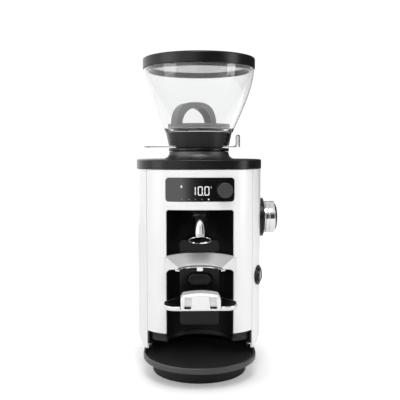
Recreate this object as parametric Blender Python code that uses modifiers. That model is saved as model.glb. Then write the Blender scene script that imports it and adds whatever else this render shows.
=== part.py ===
"""Burr coffee grinder: a tall upright housing on a low foot, with a bean hopper on top, a grind dial
and a power switch on its right side, and a recess with a holder fork in front.

Frame: origin in the middle of the foot's underside, below the burrs' axis. +Z up, -Y to the front.
"""
import math

import bmesh
import bpy
from mathutils import Vector

MM = 0.001

# ---- driving dimensions, millimetres -------------------------------------------------------------
GAP = 0.3                   # clearance between pieces that touch
BODY_HALF_WIDTH = 84.8      # housing in plan: a superellipse of power 3
BODY_HALF_DEPTH = 101.0
BODY_CENTRE_Y = 21.0
BODY_BOTTOM = 36.0
BODY_TOP = 271.0
SHELL_WALL = 2.5
SHELL_BOTTOM_ROUND = 12.0
SEAM_X = 69.0               # where the front panel meets the side shell
PANEL_BOTTOM = 60.0
COVER_HEIGHT = 12.3
COVER_OVERHANG = 0.8
FOOT_RADIUS = 63.0
FOOT_HEIGHT = 14.0
FOOT_FRONT_Y = -30.0        # centres of the foot's two round ends
FOOT_REAR_Y = 45.0
RECESS_RADIUS = 43.0        # half-round recess, on a vertical axis
RECESS_AXIS_Y = -80.0
RECESS_TOP = 220.0
LINER_WALL = 2.0
BASE_PLATE_LOW = 48.4
BASE_PLATE_THICK = 6.3
TRAY_RADIUS = 74.3
TRAY_FRONT_CENTRE_Y = -48.0
TRAY_REAR_Y = -18.0
TRAY_LOW = 22.0
TRAY_FLOOR = 26.0
TRAY_RIM = 30.0
TRAY_BACK_TOP = 42.0
TRAY_WALL = 3.5
TRAY_LOBE_RADIUS = 42.0
PLATE_WIDTH = 2.0 * RECESS_RADIUS - 33.0     # holder plate at the back of the recess
PLATE_FACE_Y = RECESS_AXIS_Y + RECESS_RADIUS - 10.5
PLATE_THICK = 6.0
PLATE_TOP = 178.0
PLATE_BOTTOM = 64.0
FORK_AXIS_Y = -92.0
FORK_TOP = 161.2
FORK_LOW = 142.5
FORK_OUTER = 45.7
CONE_TOP_RADIUS = 41.0
CONE_LOW_RADIUS = 27.4
CONE_LOW = 149.0
REST_RIM_TOP = 105.4
REST_HALF_WIDTH = 46.3
REST_FRONT_Y = -118.0
TONGUE_FRONT_Y = -118.4
TONGUE_REAR_Y = -96.0
TONGUE_HALF = 24.4
BUTTON_WIDTH = 31.4
BUTTON_HEIGHT = 15.4
BUTTON_Z = 126.3
SPOUT_TILT = math.radians(33.0)
SPOUT_LENGTH = 36.0
SPOUT_TOP_RADIUS = 10.0
SPOUT_MOUTH_RADIUS = 14.6
SPOUT_WALL = 1.2
SPOUT_TOP = (0.0, -58.0, 209.0)
DISPLAY_WIDTH = 88.0
DISPLAY_HEIGHT = 30.5
DISPLAY_Z = 245.8
KNOB_X = 31.5
KNOB_Z = 245.3
KNOB_RADIUS = 9.5
KNOB_TRAVEL = 1.0
KNOB_BACK_Y = -80.6         # clear of the curved glass when it is pushed in
KNOB_DEPTH = 10.0
KNOB_SOCKET = 5.0
BOARD_Y = -70.8             # display board
BOARD_THICK = 1.6
SHAFT_OF_KNOB = 3.0
DIAL_Z = 203.4
DIAL_COLLAR_RADIUS = 26.5
DIAL_KNOB_RADIUS = 22.15
DIAL_CAP_RADIUS = 19.2
DIAL_COLLAR_FACE_X = BODY_HALF_WIDTH + 3.8
DIAL_KNOB_END_X = DIAL_COLLAR_FACE_X + 15.6
DIAL_CAP_END_X = DIAL_KNOB_END_X + 4.0
PINION_TEETH = 12
CROWN_TEETH = 76            # teeth that a full crown would have
CROWN_RADIUS = 58.0
TOOTH_DEPTH = 2.1
CROWN_HALF_ANGLE = 32.0     # degrees of crown either side of the pinion
PINION_LOW_X = CROWN_RADIUS - 4.0
PINION_HIGH_X = CROWN_RADIUS + 4.0
SWITCH_POINT = (BODY_HALF_WIDTH - 7.3, -41.4, 130.0)
SWITCH_ANGLE = math.radians(69.0)
SWITCH_BEZEL_RADIUS = 13.0
SWITCH_BUTTON_RADIUS = 9.0
SWITCH_BACK = -9.5          # back of the bezel's barrel, along the switch's axis
SWITCH_REAR = -21.0
GLAND_X = 40.0
GLAND_Z = 72.0
GLAND_BORE = 3.8
BURR_RADIUS = 27.0          # 54 mm flat burrs
BURR_BORE = 13.5
BURR_THICK = 7.0
BURR_GAP = 1.3
BURR_CARRIER_HEIGHT = 5.6
SHAFT_RADIUS = 5.0
HOUSING_RADIUS = BURR_RADIUS + 11.5   # grinding chamber round the burrs
HOUSING_WALL = 2.5
HOUSING_FLOOR = 5.0
CHASSIS_THICK = 10.0
CHASSIS_LEG_X = 20.0        # the legs stand clear of the crown's sweep
CHASSIS_LEG_HALF = 6.0
CHASSIS_REAR_Y = 64.0
MOTOR_RADIUS = 31.0
MOTOR_LENGTH = 100.0
ADJUSTER_THICK = 6.0
NECK_RADIUS = 40.7
NECK_BORE = 37.0
NECK_FOOT_RADIUS = 48.5
NECK_TOP = 294.0
COLLAR_LOW = 299.0
COLLAR_TOP = 320.0
COLLAR_LOW_RADIUS = 41.2
COLLAR_TOP_RADIUS = 45.2
GATE_Z = 300.1
GATE_THICK = 1.0
GATE_HALF_WIDTH = 25.0
GATE_HOLE_RADIUS = 20.0
GATE_LEFT_X = -74.0
GATE_RIGHT_X = 50.5
GATE_TAB_TOP = 317.0
HOPPER_TOP = 405.2
HOPPER_FOOT_RADIUS = 46.3
HOPPER_RIM_RADIUS = 75.4
HOPPER_WALL = 2.2
LID_RADIUS = 76.3
LID_HEIGHT = 14.5
GUARD_SPAN = 30.0           # bean guard: half-span of its arch
GUARD_HEIGHT = 361.0
GUARD_TURN = math.radians(27.0)
GUARD_SHIFT = -7.0

COVER_TOP = BODY_TOP + GAP + COVER_HEIGHT
BASE_PLATE_TOP = BASE_PLATE_LOW + BASE_PLATE_THICK
LINER_BOTTOM = BASE_PLATE_TOP + GAP
HOUSING_LOW = RECESS_TOP + LINER_WALL + 2.0 * GAP
LOWER_BURR_Z = HOUSING_LOW + HOUSING_FLOOR + 0.8 + BURR_CARRIER_HEIGHT + GAP
LOWER_BURR_TOP = LOWER_BURR_Z + BURR_THICK
UPPER_BURR_LOW = LOWER_BURR_TOP + BURR_GAP
UPPER_BURR_TOP = UPPER_BURR_LOW + BURR_THICK
HOUSING_TOP = UPPER_BURR_TOP + 1.9
UPPER_CARRIER_LOW = HOUSING_TOP + 1.3
UPPER_CARRIER_TOP = UPPER_CARRIER_LOW + 8.0
GROUNDS_PORT_Z = LOWER_BURR_TOP - 4.0
CHASSIS_TOP = HOUSING_LOW - GAP
MOTOR_TOP = CHASSIS_TOP - CHASSIS_THICK - GAP
MOTOR_LOW = MOTOR_TOP - MOTOR_LENGTH
PITCH_RADIUS = CROWN_RADIUS * PINION_TEETH / CROWN_TEETH
STEPS = 32                  # facets round a large turned piece
SMALL_STEPS = 20
TINY_STEPS = 12
FAR = 400.0

# ---- finishes: base colour, roughness, metallic --------------------------------------------------
FINISHES = {
    "white_paint": ((0.86, 0.86, 0.86), 0.35, 0.0),
    "black_plastic": ((0.018, 0.018, 0.019), 0.42, 0.0),
    "black_gloss": ((0.006, 0.006, 0.007), 0.12, 0.0),
    "grey_plastic": ((0.10, 0.10, 0.11), 0.5, 0.0),
    "clear_plastic": ((0.92, 0.94, 0.95), 0.08, 0.0),
    "rubber": ((0.02, 0.02, 0.02), 0.8, 0.0),
    "brushed_aluminium": ((0.72, 0.72, 0.73), 0.32, 1.0),
    "chrome": ((0.86, 0.86, 0.88), 0.08, 1.0),
    "bright_steel": ((0.75, 0.75, 0.76), 0.2, 1.0),
    "burr_steel": ((0.42, 0.42, 0.44), 0.35, 1.0),
    "dark_steel": ((0.12, 0.12, 0.13), 0.45, 1.0),
    "copper": ((0.72, 0.36, 0.2), 0.35, 1.0),
    "brass": ((0.72, 0.56, 0.25), 0.3, 1.0),
    "board_green": ((0.02, 0.12, 0.06), 0.45, 0.0),
}

for leftover in list(bpy.data.objects):
    bpy.data.objects.remove(leftover, do_unlink=True)

PARTS = bpy.data.collections.new("burr_coffee_grinder")
CUTTERS = bpy.data.collections.new("cutters")
bpy.context.scene.collection.children.link(PARTS)
bpy.context.scene.collection.children.link(CUTTERS)


# ---- tools ---------------------------------------------------------------------------------------
def finish_material(name):
    """The Principled material of one finish, made once."""
    material = bpy.data.materials.get(name)
    if material:
        return material
    colour, roughness, metallic = FINISHES[name]
    material = bpy.data.materials.new(name)
    material.use_nodes = True
    shader = material.node_tree.nodes["Principled BSDF"]
    shader.inputs["Base Color"].default_value = (*colour, 1.0)
    shader.inputs["Roughness"].default_value = roughness
    shader.inputs["Metallic"].default_value = metallic
    if name == "clear_plastic":
        shader.inputs["Transmission Weight"].default_value = 1.0
    return material


def place(name, data, finish=None, at=(0.0, 0.0, 0.0), axis=None):
    """Link an object with its local +Z along `axis`; without a finish it is a cutter."""
    piece = bpy.data.objects.new(name, data)
    piece.location = Vector(at) * MM
    if axis is not None:
        piece.rotation_mode = "QUATERNION"
        piece.rotation_quaternion = Vector(axis).to_track_quat("Z", "Y")
    if finish:
        own = finish_material(finish).copy()
        own.name = name + "_" + finish
        data.materials.append(own)
        PARTS.objects.link(piece)
    else:
        CUTTERS.objects.link(piece)
        piece.hide_render = True
        piece.display_type = "WIRE"
    return piece


def shade(piece, angle=35.0):
    """Smooth shading that keeps the sharp edges."""
    piece.data.shade_smooth()
    piece.data.set_sharp_from_angle(angle=math.radians(angle))
    return piece


def turned(name, profile, finish=None, at=(0.0, 0.0, 0.0), axis=None, steps=STEPS):
    """A turned solid. The profile of (radius, height) runs down the outer side; a ring closes on itself."""
    mesh = bpy.data.meshes.new(name)
    bm = bmesh.new()
    dots = [bm.verts.new((radius * MM, 0.0, height * MM)) for radius, height in profile]
    for first, second in zip(dots, dots[1:]):
        bm.edges.new((first, second))
    if profile[0][0] > 0.0:
        bm.edges.new((dots[-1], dots[0]))
    bm.to_mesh(mesh)
    bm.free()
    piece = place(name, mesh, finish, at, axis)
    screw = piece.modifiers.new("turn", "SCREW")
    screw.steps = screw.render_steps = steps
    screw.use_merge_vertices = True
    screw.merge_threshold = 0.00001
    screw.use_smooth_shade = False
    return piece


def rod(name, radius, low, high, finish=None, at=(0.0, 0.0, 0.0), axis=None, steps=SMALL_STEPS):
    """A plain round bar from `low` to `high` along its axis."""
    mesh = bpy.data.meshes.new(name)
    bm = bmesh.new()
    bmesh.ops.create_cone(bm, cap_ends=True, segments=steps, radius1=radius * MM, radius2=radius * MM,
                          depth=(high - low) * MM)
    bmesh.ops.translate(bm, verts=bm.verts, vec=(0.0, 0.0, 0.5 * (low + high) * MM))
    bm.to_mesh(mesh)
    bm.free()
    return place(name, mesh, finish, at, axis)


def ring(name, inner, outer, low, high, finish=None, at=(0.0, 0.0, 0.0), axis=None, steps=STEPS):
    """A plain ring of rectangular section."""
    return turned(name, [(inner, high), (outer, high), (outer, low), (inner, low)], finish, at, axis, steps)


def block(name, low, high, finish=None, turn_z=0.0):
    """A box between two corners, turned about the vertical through its middle."""
    mesh = bpy.data.meshes.new(name)
    bm = bmesh.new()
    bmesh.ops.create_cube(bm, size=1.0)
    size = Vector(high) - Vector(low)
    bmesh.ops.scale(bm, verts=bm.verts, vec=size * MM)
    bm.to_mesh(mesh)
    bm.free()
    piece = place(name, mesh, finish, (Vector(high) + Vector(low)) * 0.5)
    piece.rotation_euler.z = turn_z
    return piece


def slab(name, outlines, low, high, finish=None, axis=None, at=(0.0, 0.0, 0.0)):
    """A flat outline, with further outlines as holes, given thickness from `low` to `high`."""
    curve = bpy.data.curves.new(name, "CURVE")
    curve.dimensions = "2D"
    curve.fill_mode = "BOTH"
    curve.extrude = 0.5 * (high - low) * MM
    for outline in outlines:
        spline = curve.splines.new("POLY")
        spline.points.add(len(outline) - 1)
        for point, (x, y) in zip(spline.points, outline):
            point.co = (x * MM, y * MM, 0.0, 1.0)
        spline.use_cyclic_u = True
    guide = bpy.data.objects.new(name + "_outline", curve)
    CUTTERS.objects.link(guide)
    bpy.context.view_layer.update()
    mesh = bpy.data.meshes.new_from_object(guide.evaluated_get(bpy.context.evaluated_depsgraph_get()))
    bm = bmesh.new()
    bm.from_mesh(mesh)
    bmesh.ops.remove_doubles(bm, verts=bm.verts, dist=0.000001)
    bmesh.ops.translate(bm, verts=bm.verts, vec=(0.0, 0.0, 0.5 * (low + high) * MM))
    bm.to_mesh(mesh)
    bm.free()
    mesh.name = name
    bpy.data.objects.remove(guide, do_unlink=True)
    return place(name, mesh, finish, at, axis)


def combine(piece, other, operation):
    """A Boolean step; the other solid goes to the cutters."""
    step = piece.modifiers.new(operation.lower(), "BOOLEAN")
    step.operation = operation
    step.object = other
    step.solver = "EXACT"
    if other.name in PARTS.objects:
        PARTS.objects.unlink(other)
        CUTTERS.objects.link(other)
    other.hide_render = True
    other.display_type = "WIRE"
    return piece


def cut(piece, *cutters):
    for cutter in cutters:
        combine(piece, cutter, "DIFFERENCE")
    return piece


def join(piece, *others):
    for other in others:
        combine(piece, other, "UNION")
    return piece


def clip(piece, keeper):
    return combine(piece, keeper, "INTERSECT")


def soften(piece, width, segments=2, angle=50.0):
    """Rounded edges."""
    bevel = piece.modifiers.new("round", "BEVEL")
    bevel.width = width * MM
    bevel.segments = segments
    bevel.limit_method = "ANGLE"
    bevel.angle_limit = math.radians(angle)
    bevel.harden_normals = False
    return piece


# ---- outlines ------------------------------------------------------------------------------------
def body_outline(inset, count=52):
    """The housing in plan, moved inwards by `inset`."""
    a, b = BODY_HALF_WIDTH - inset, BODY_HALF_DEPTH - inset
    points = []
    for index in range(count):
        angle = 2.0 * math.pi * (index + 0.5) / count
        c, s = math.cos(angle), math.sin(angle)
        reach = (abs(c / a) ** 3 + abs(s / b) ** 3) ** (-1.0 / 3.0)
        points.append((reach * c, BODY_CENTRE_Y + reach * s))
    return points


def side_x(y):
    """The housing's half-width at `y`."""
    return BODY_HALF_WIDTH * (1.0 - abs((y - BODY_CENTRE_Y) / BODY_HALF_DEPTH) ** 3) ** (1.0 / 3.0)


def back_y(x):
    """The back of the housing at `x`."""
    return BODY_CENTRE_Y + BODY_HALF_DEPTH * (1.0 - abs(x / BODY_HALF_WIDTH) ** 3) ** (1.0 / 3.0)


def arc(centre, radius, start, end, count):
    """Points on an arc, ends included, angles in degrees."""
    points = []
    for index in range(count + 1):
        angle = math.radians(start + (end - start) * index / count)
        points.append((centre[0] + radius * math.cos(angle), centre[1] + radius * math.sin(angle)))
    return points


def stadium(radius, low_y, high_y, count=14):
    """Two half circles with their centres at (0, low_y) and (0, high_y)."""
    return arc((0.0, high_y), radius, 0.0, 180.0, count) + arc((0.0, low_y), radius, 180.0, 360.0, count)


def rounded_box(half_width, low, high, radius, count=4):
    """A rectangle about x = 0 with round corners."""
    corners = ((half_width - radius, high - radius, 0.0), (radius - half_width, high - radius, 90.0),
               (radius - half_width, low + radius, 180.0), (half_width - radius, low + radius, 270.0))
    points = []
    for x, y, start in corners:
        points += arc((x, y), radius, start, start + 90.0, count)
    return points


def bezier(start, first, second, end, count):
    """Points on a cubic curve, ends included."""
    points = []
    for index in range(count + 1):
        t = index / count
        weights = ((1 - t) ** 3, 3 * t * (1 - t) ** 2, 3 * t * t * (1 - t), t ** 3)
        points.append(tuple(sum(w * p[i] for w, p in zip(weights, (start, first, second, end)))
                            for i in range(2)))
    return points


FRONT = (0.0, -1.0, 0.0)
BACK = (0.0, 1.0, 0.0)
RIGHT = (1.0, 0.0, 0.0)
SWITCH_NORMAL = (math.sin(SWITCH_ANGLE), -math.cos(SWITCH_ANGLE), 0.0)
SPOUT_AXIS = (0.0, math.sin(SPOUT_TILT), math.cos(SPOUT_TILT))


def upright(name, outlines, front_y, back_y_limit, finish=None):
    """A slab drawn in (x, z), standing between two depths."""
    flat = slab(name, outlines, -back_y_limit, -front_y, finish)
    flat.rotation_euler.x = math.radians(90.0)
    return flat


# ---- foot and base -------------------------------------------------------------------------------
def make_foot():
    foot = slab("foot_plate", [stadium(FOOT_RADIUS, FOOT_FRONT_Y, FOOT_REAR_Y)], 0.0, FOOT_HEIGHT, "rubber")
    soften(foot, 1.5, 1)
    deck_low, deck_top = FOOT_HEIGHT + GAP, TRAY_LOW - GAP
    column_top = BASE_PLATE_LOW - GAP
    column_front = TRAY_REAR_Y + TRAY_LOBE_RADIUS + 6.0
    deck_radius = FOOT_RADIUS - 5.0
    pedestal = slab("pedestal", [stadium(deck_radius, FOOT_FRONT_Y, FOOT_REAR_Y)], deck_low, column_top,
                    "black_plastic")
    cut(pedestal, block("pedestal_front_cut", (-FAR, -FAR, deck_top), (FAR, column_front, FAR)))
    shade(pedestal)


def make_base_plate():
    rim_top = PANEL_BOTTOM - GAP
    plate = slab("base_plate", [body_outline(SHELL_WALL + 1.0)], BASE_PLATE_LOW, rim_top, "black_plastic")
    pocket = slab("base_pocket", [body_outline(SHELL_WALL + 4.0)], BASE_PLATE_TOP, FAR)
    clear = RECESS_RADIUS + LINER_WALL + GAP
    cut(plate, pocket,
        rod("base_notch", RECESS_RADIUS, 0.0, FAR, at=(0.0, RECESS_AXIS_Y, 0.0), steps=STEPS),
        rod("base_liner_seat", clear, BASE_PLATE_TOP, FAR, at=(0.0, RECESS_AXIS_Y, 0.0), steps=STEPS))
    for index, side in enumerate((-1.0, 1.0)):
        at = (side * 30.0, 70.0, 0.0)
        cut(plate, rod("base_screw_hole_%d" % index, 2.4, 0.0, FAR, at=at, steps=TINY_STEPS))
        head_low = BASE_PLATE_TOP + GAP
        turned("base_screw_%d" % (index + 1),
               [(0.0, head_low + 3.0), (4.0, head_low + 3.0), (4.0, head_low),
                (2.0, head_low), (2.0, BASE_PLATE_LOW + GAP), (0.0, BASE_PLATE_LOW + GAP)],
               "dark_steel", at=at, steps=TINY_STEPS)


# ---- housing -------------------------------------------------------------------------------------
def make_side_shell():
    shell = slab("side_shell", [body_outline(0.0)], BODY_BOTTOM, BODY_TOP, "white_paint")
    bottom = shell.modifiers.new("bottom_round", "BEVEL")
    bottom.width = SHELL_BOTTOM_ROUND * MM
    bottom.segments = 3
    bottom.limit_method = "ANGLE"
    bottom.angle_limit = math.radians(50.0)
    hollow = slab("side_shell_hollow", [body_outline(SHELL_WALL)], BODY_BOTTOM - 6.0, FAR)
    hollow_round = hollow.modifiers.new("bottom_round", "BEVEL")
    hollow_round.width = SHELL_BOTTOM_ROUND * MM
    hollow_round.segments = 3
    hollow_round.limit_method = "ANGLE"
    hollow_round.angle_limit = math.radians(50.0)
    shell_top = slab("side_shell_top", [body_outline(0.0)], 0.5 * (BODY_BOTTOM + BODY_TOP), BODY_TOP)
    join(shell, shell_top)
    cut(shell, hollow,
        block("side_shell_front_cut", (-SEAM_X, -FAR, -FAR), (SEAM_X, BODY_CENTRE_Y - 40.0, FAR)),
        rod("dial_shaft_hole", 6.0, 0.0, FAR, at=(0.0, 0.0, DIAL_Z), axis=RIGHT),
        rod("switch_hole", 11.4, -20.0, 20.0, at=SWITCH_POINT, axis=SWITCH_NORMAL),
        rod("gland_hole", 7.6, 0.0, FAR, at=(GLAND_X, 0.0, GLAND_Z), axis=(0.0, 1.0, 0.0)))
    return shell


def make_front_panel():
    panel = slab("front_panel", [body_outline(0.0)], PANEL_BOTTOM, BODY_TOP, "white_paint")
    cut(panel, slab("front_panel_hollow", [body_outline(SHELL_WALL)], 0.0, FAR))
    reach = SEAM_X - GAP
    clip(panel, block("front_panel_keep", (-reach, -FAR, 0.0), (reach, BODY_CENTRE_Y - 41.0, FAR)))
    mouth = RECESS_RADIUS + 0.5
    cut(panel, upright("recess_mouth", [rounded_box(mouth, 0.0, RECESS_TOP, 4.0)], -FAR, -50.0),
        upright("display_window", [display_outline(0.0)], -FAR, -50.0))
    return panel


def display_outline(inset):
    half = 0.5 * DISPLAY_HEIGHT - inset
    return rounded_box(0.5 * DISPLAY_WIDTH - inset, DISPLAY_Z - half, DISPLAY_Z + half, 4.0 - inset)


def make_top_cover():
    cover = slab("top_cover", [body_outline(-COVER_OVERHANG)], BODY_TOP + GAP, COVER_TOP, "black_plastic")
    soften(cover, 1.2, 1)
    cut(cover, slab("top_cover_hollow", [body_outline(SHELL_WALL + 0.5)], 0.0, COVER_TOP - 3.0),
        rod("top_cover_hole", NECK_RADIUS + 1.0, 0.0, FAR, steps=STEPS))
    return cover


def make_recess_liner():
    outer = RECESS_RADIUS + LINER_WALL
    liner = rod("recess_liner", outer, LINER_BOTTOM, RECESS_TOP + LINER_WALL, "black_plastic",
                at=(0.0, RECESS_AXIS_Y, 0.0), steps=STEPS)
    clip(liner, slab("liner_keep", [body_outline(SHELL_WALL + GAP)], 0.0, FAR))
    inner = rod("liner_hollow", RECESS_RADIUS, 0.0, RECESS_TOP, at=(0.0, RECESS_AXIS_Y, 0.0), steps=STEPS)
    cut(liner, inner,
        rod("liner_spout_hole", 14.0, -FAR, FAR, at=SPOUT_TOP, axis=SPOUT_AXIS),
        upright("liner_switch_window", [rounded_box(11.0, BUTTON_Z - 6.5, BUTTON_Z + 6.5, 1.0, 1)],
                RECESS_AXIS_Y + 30.0, -20.0))
    return liner


def make_holder_plate():
    back = PLATE_FACE_Y + PLATE_THICK
    half = 0.5 * PLATE_WIDTH
    plate = upright("holder_plate", [rounded_box(half, PLATE_BOTTOM, PLATE_TOP, 4.5)], PLATE_FACE_Y, back,
                    "black_plastic")
    clip(plate, rod("plate_keep", RECESS_RADIUS - GAP, 0.0, FAR, at=(0.0, RECESS_AXIS_Y, 0.0), steps=STEPS))
    cut(plate, upright("button_hole", [stadium_flat(BUTTON_WIDTH + 0.8, BUTTON_HEIGHT + 0.8, BUTTON_Z)],
                       -FAR, 0.0))
    return plate


def stadium_flat(width, height, z):
    """A lying stadium about x = 0 at height z."""
    radius = 0.5 * height
    reach = 0.5 * width - radius
    return arc((reach, z), radius, -90.0, 90.0, 8) + arc((-reach, z), radius, 90.0, 270.0, 8)


# ---- display and control knob --------------------------------------------------------------------
def make_display():
    glass = slab("display_glass", [body_outline(GAP)], 0.0, FAR, "black_gloss")
    cut(glass, slab("glass_hollow", [body_outline(3.0)], -10.0, FAR + 10.0))
    clip(glass, upright("glass_keep", [display_outline(GAP)], -FAR, -50.0))
    cut(glass, rod("glass_knob_hole", 4.0, 0.0, FAR, at=(KNOB_X, 0.0, KNOB_Z), axis=FRONT, steps=TINY_STEPS))
    half = 0.5 * DISPLAY_HEIGHT - 1.5
    outline = rounded_box(0.5 * DISPLAY_WIDTH - 2.0, DISPLAY_Z - half, DISPLAY_Z + half, 2.0, 2)
    board = upright("display_board", [outline], BOARD_Y, BOARD_Y + BOARD_THICK, "board_green")
    cut(board, rod("board_knob_hole", 4.0, 0.0, FAR, at=(KNOB_X, 0.0, KNOB_Z), axis=FRONT, steps=TINY_STEPS))
    board_back = -(BOARD_Y + BOARD_THICK)
    join(board, ring("knob_encoder", 4.0, 7.0, board_back - 6.5, board_back + 0.5, at=(KNOB_X, 0.0, KNOB_Z),
                     axis=FRONT, steps=TINY_STEPS))


def make_control_knob():
    """A cap that is pushed along its shaft, and a shaft that turns in the encoder on the board."""
    face, socket = -KNOB_BACK_Y, KNOB_SOCKET
    front = face + KNOB_DEPTH
    turned("control_knob",
           [(0.0, front), (KNOB_RADIUS - 0.8, front), (KNOB_RADIUS, front - 0.8), (KNOB_RADIUS, face),
            (SHAFT_OF_KNOB + GAP, face), (SHAFT_OF_KNOB + GAP, face + socket), (0.0, face + socket)],
           "grey_plastic", at=(KNOB_X, 0.0, KNOB_Z), axis=FRONT, steps=SMALL_STEPS)
    rod("knob_shaft", SHAFT_OF_KNOB, -(BOARD_Y + BOARD_THICK + 5.0), face + socket - KNOB_TRAVEL - GAP,
        "dark_steel", at=(KNOB_X, 0.0, KNOB_Z), axis=FRONT, steps=TINY_STEPS)


# ---- spout, chute and fork -----------------------------------------------------------------------
def make_spout():
    low = -SPOUT_LENGTH
    outer = bezier((SPOUT_TOP_RADIUS, 0.0), (SPOUT_TOP_RADIUS, 0.45 * low),
                   (SPOUT_TOP_RADIUS + 1.2, 0.75 * low), (SPOUT_MOUTH_RADIUS, low), 4)
    inner = [(radius - SPOUT_WALL, height) for radius, height in reversed(outer)]
    turned("spout", outer + inner, "chrome", at=SPOUT_TOP, axis=SPOUT_AXIS, steps=24)
    inside = SPOUT_TOP_RADIUS + GAP
    sleeve = turned("spout_sleeve",
                    [(inside, 20.0), (14.6, 20.0), (14.6, 10.0), (11.3, -1.5), (inside, -1.5)],
                    "black_plastic", at=SPOUT_TOP, axis=SPOUT_AXIS, steps=24)
    clip(sleeve, rod("sleeve_keep", RECESS_RADIUS - GAP, 0.0, RECESS_TOP - GAP, at=(0.0, RECESS_AXIS_Y, 0.0),
                     steps=STEPS))


def make_chute():
    """The way from the grinding chamber's port down into the spout."""
    low = RECESS_TOP + LINER_WALL + GAP
    drop = (GROUNDS_PORT_Z - SPOUT_TOP[2]) / math.cos(SPOUT_TILT)
    chute = block("grounds_chute", (-13.0, -68.0, low), (13.0, -20.0, GROUNDS_PORT_Z + 9.0), "black_plastic")
    bore = rod("chute_bore", 8.6, -20.0, drop - 3.0, at=SPOUT_TOP, axis=SPOUT_AXIS)
    port = rod("chute_port", 6.5, 0.0, 52.0, at=(0.0, 0.0, GROUNDS_PORT_Z), axis=FRONT, steps=TINY_STEPS)
    cut(chute, rod("chute_housing_cut", HOUSING_RADIUS + GAP, 0.0, FAR, steps=STEPS), bore, port)


def make_fork():
    """A half cone that guides the grounds into the filter holder, open to the front."""
    sheet = 2.4
    floor = CONE_LOW - sheet
    profile = [(CONE_TOP_RADIUS, FORK_TOP), (FORK_OUTER, FORK_TOP), (FORK_OUTER, FORK_LOW),
               (FORK_OUTER - 3.2, FORK_LOW), (FORK_OUTER - 4.4, floor - 1.0), (FORK_OUTER - 6.2, floor),
               (CONE_LOW_RADIUS + 0.6, floor), (CONE_LOW_RADIUS, CONE_LOW)]
    fork = turned("funnel_fork", profile, "brushed_aluminium", at=(0.0, FORK_AXIS_Y, 0.0))
    rear = PLATE_FACE_Y - GAP
    cut(fork, block("fork_front_cut", (-FAR, -FAR, 0.0), (FAR, FORK_AXIS_Y, FAR)),
        block("fork_rear_cut", (-FAR, rear, 0.0), (FAR, FAR, FAR)))
    join(fork, block("fork_boss", (-14.0, rear - 8.0, FORK_LOW + 0.5), (14.0, rear, FORK_TOP - 2.0)))
    lip_top = floor - GAP - 0.9
    inside, outside = CONE_LOW_RADIUS - 1.2, CONE_LOW_RADIUS + 4.0
    lip = turned("funnel_lip", [(inside, lip_top), (outside, lip_top + 0.9), (outside, lip_top - 0.6),
                                (inside, lip_top - 1.5)], "chrome", at=(0.0, FORK_AXIS_Y, 0.0))
    lip_y = FORK_AXIS_Y + CONE_LOW_RADIUS
    cut(lip, block("lip_front_cut", (-FAR, -FAR, 0.0), (FAR, FORK_AXIS_Y, FAR)))
    join(lip, block("lip_tab", (-5.0, lip_y - 0.8, lip_top - 6.0), (5.0, lip_y + 1.2, lip_top - 0.4)))


def make_rest():
    """The lower rest: a bright rim with a dark floor and a tongue that the holder's spouts sit on."""
    tips_y = -90.0
    outline = (arc((REST_HALF_WIDTH - 17.0, REST_FRONT_Y + 17.0), 17.0, -90.0, 0.0, 6)
               + [(REST_HALF_WIDTH, tips_y), (REST_HALF_WIDTH - 3.0, tips_y + 3.0)]
               + [(24.0, PLATE_FACE_Y - 9.0), (-24.0, PLATE_FACE_Y - 9.0)]
               + [(3.0 - REST_HALF_WIDTH, tips_y + 3.0), (-REST_HALF_WIDTH, tips_y)]
               + arc((17.0 - REST_HALF_WIDTH, REST_FRONT_Y + 17.0), 17.0, 180.0, 270.0, 6))
    rim_low = REST_RIM_TOP - 5.5
    rest = slab("rest_rim", [outline], rim_low, REST_RIM_TOP, "bright_steel")
    floor = rim_low + 2.0
    hollow_rear = PLATE_FACE_Y - 13.0
    cut(rest, block("rest_hollow", (-30.0, REST_FRONT_Y + 4.0, floor), (30.0, hollow_rear, FAR)))
    pad_half = 30.0 - GAP
    cut(rest, block("rest_mouth", (-TONGUE_HALF - GAP, -FAR, floor),
                    (TONGUE_HALF + GAP, REST_FRONT_Y + 5.0, FAR)))
    block("rest_pad", (-pad_half, TONGUE_REAR_Y, floor + GAP),
          (pad_half, hollow_rear - GAP, REST_RIM_TOP - 1.0), "rubber")
    crown = [(TONGUE_HALF, floor + GAP), (TONGUE_HALF, 113.0), (12.8, 118.5), (6.0, 121.4)]
    mirrored = [(-x, z) for x, z in reversed(crown)]
    tongue = upright("rest_tongue", [crown + mirrored], TONGUE_FRONT_Y, TONGUE_REAR_Y - GAP,
                     "brushed_aluminium")
    for index, side in enumerate((-1.0, 1.0)):
        cut(tongue, block("tongue_pocket_%d" % index, (side * 15.0 - 4.0, -FAR, floor + 2.0),
                          (side * 15.0 + 4.0, TONGUE_FRONT_Y + 7.0, 112.0)))
    rear = PLATE_FACE_Y - GAP
    slide = block("rest_slide", (-20.0, PLATE_FACE_Y - 9.0 + GAP, 84.0), (20.0, rear, REST_RIM_TOP + 4.0),
                  "black_plastic")
    soften(slide, 1.5, 1)


def make_trigger():
    outline = stadium_flat(BUTTON_WIDTH, BUTTON_HEIGHT, BUTTON_Z)
    button = upright("trigger_button", [outline], PLATE_FACE_Y - 5.5, PLATE_FACE_Y + 3.0, "grey_plastic")
    soften(button, 0.8, 1)
    switch = block("trigger_switch", (-10.0, PLATE_FACE_Y + PLATE_THICK + 1.0, BUTTON_Z - 5.5),
                   (10.0, -33.5, BUTTON_Z + 5.5), "grey_plastic")
    soften(switch, 0.6, 1)


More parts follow.
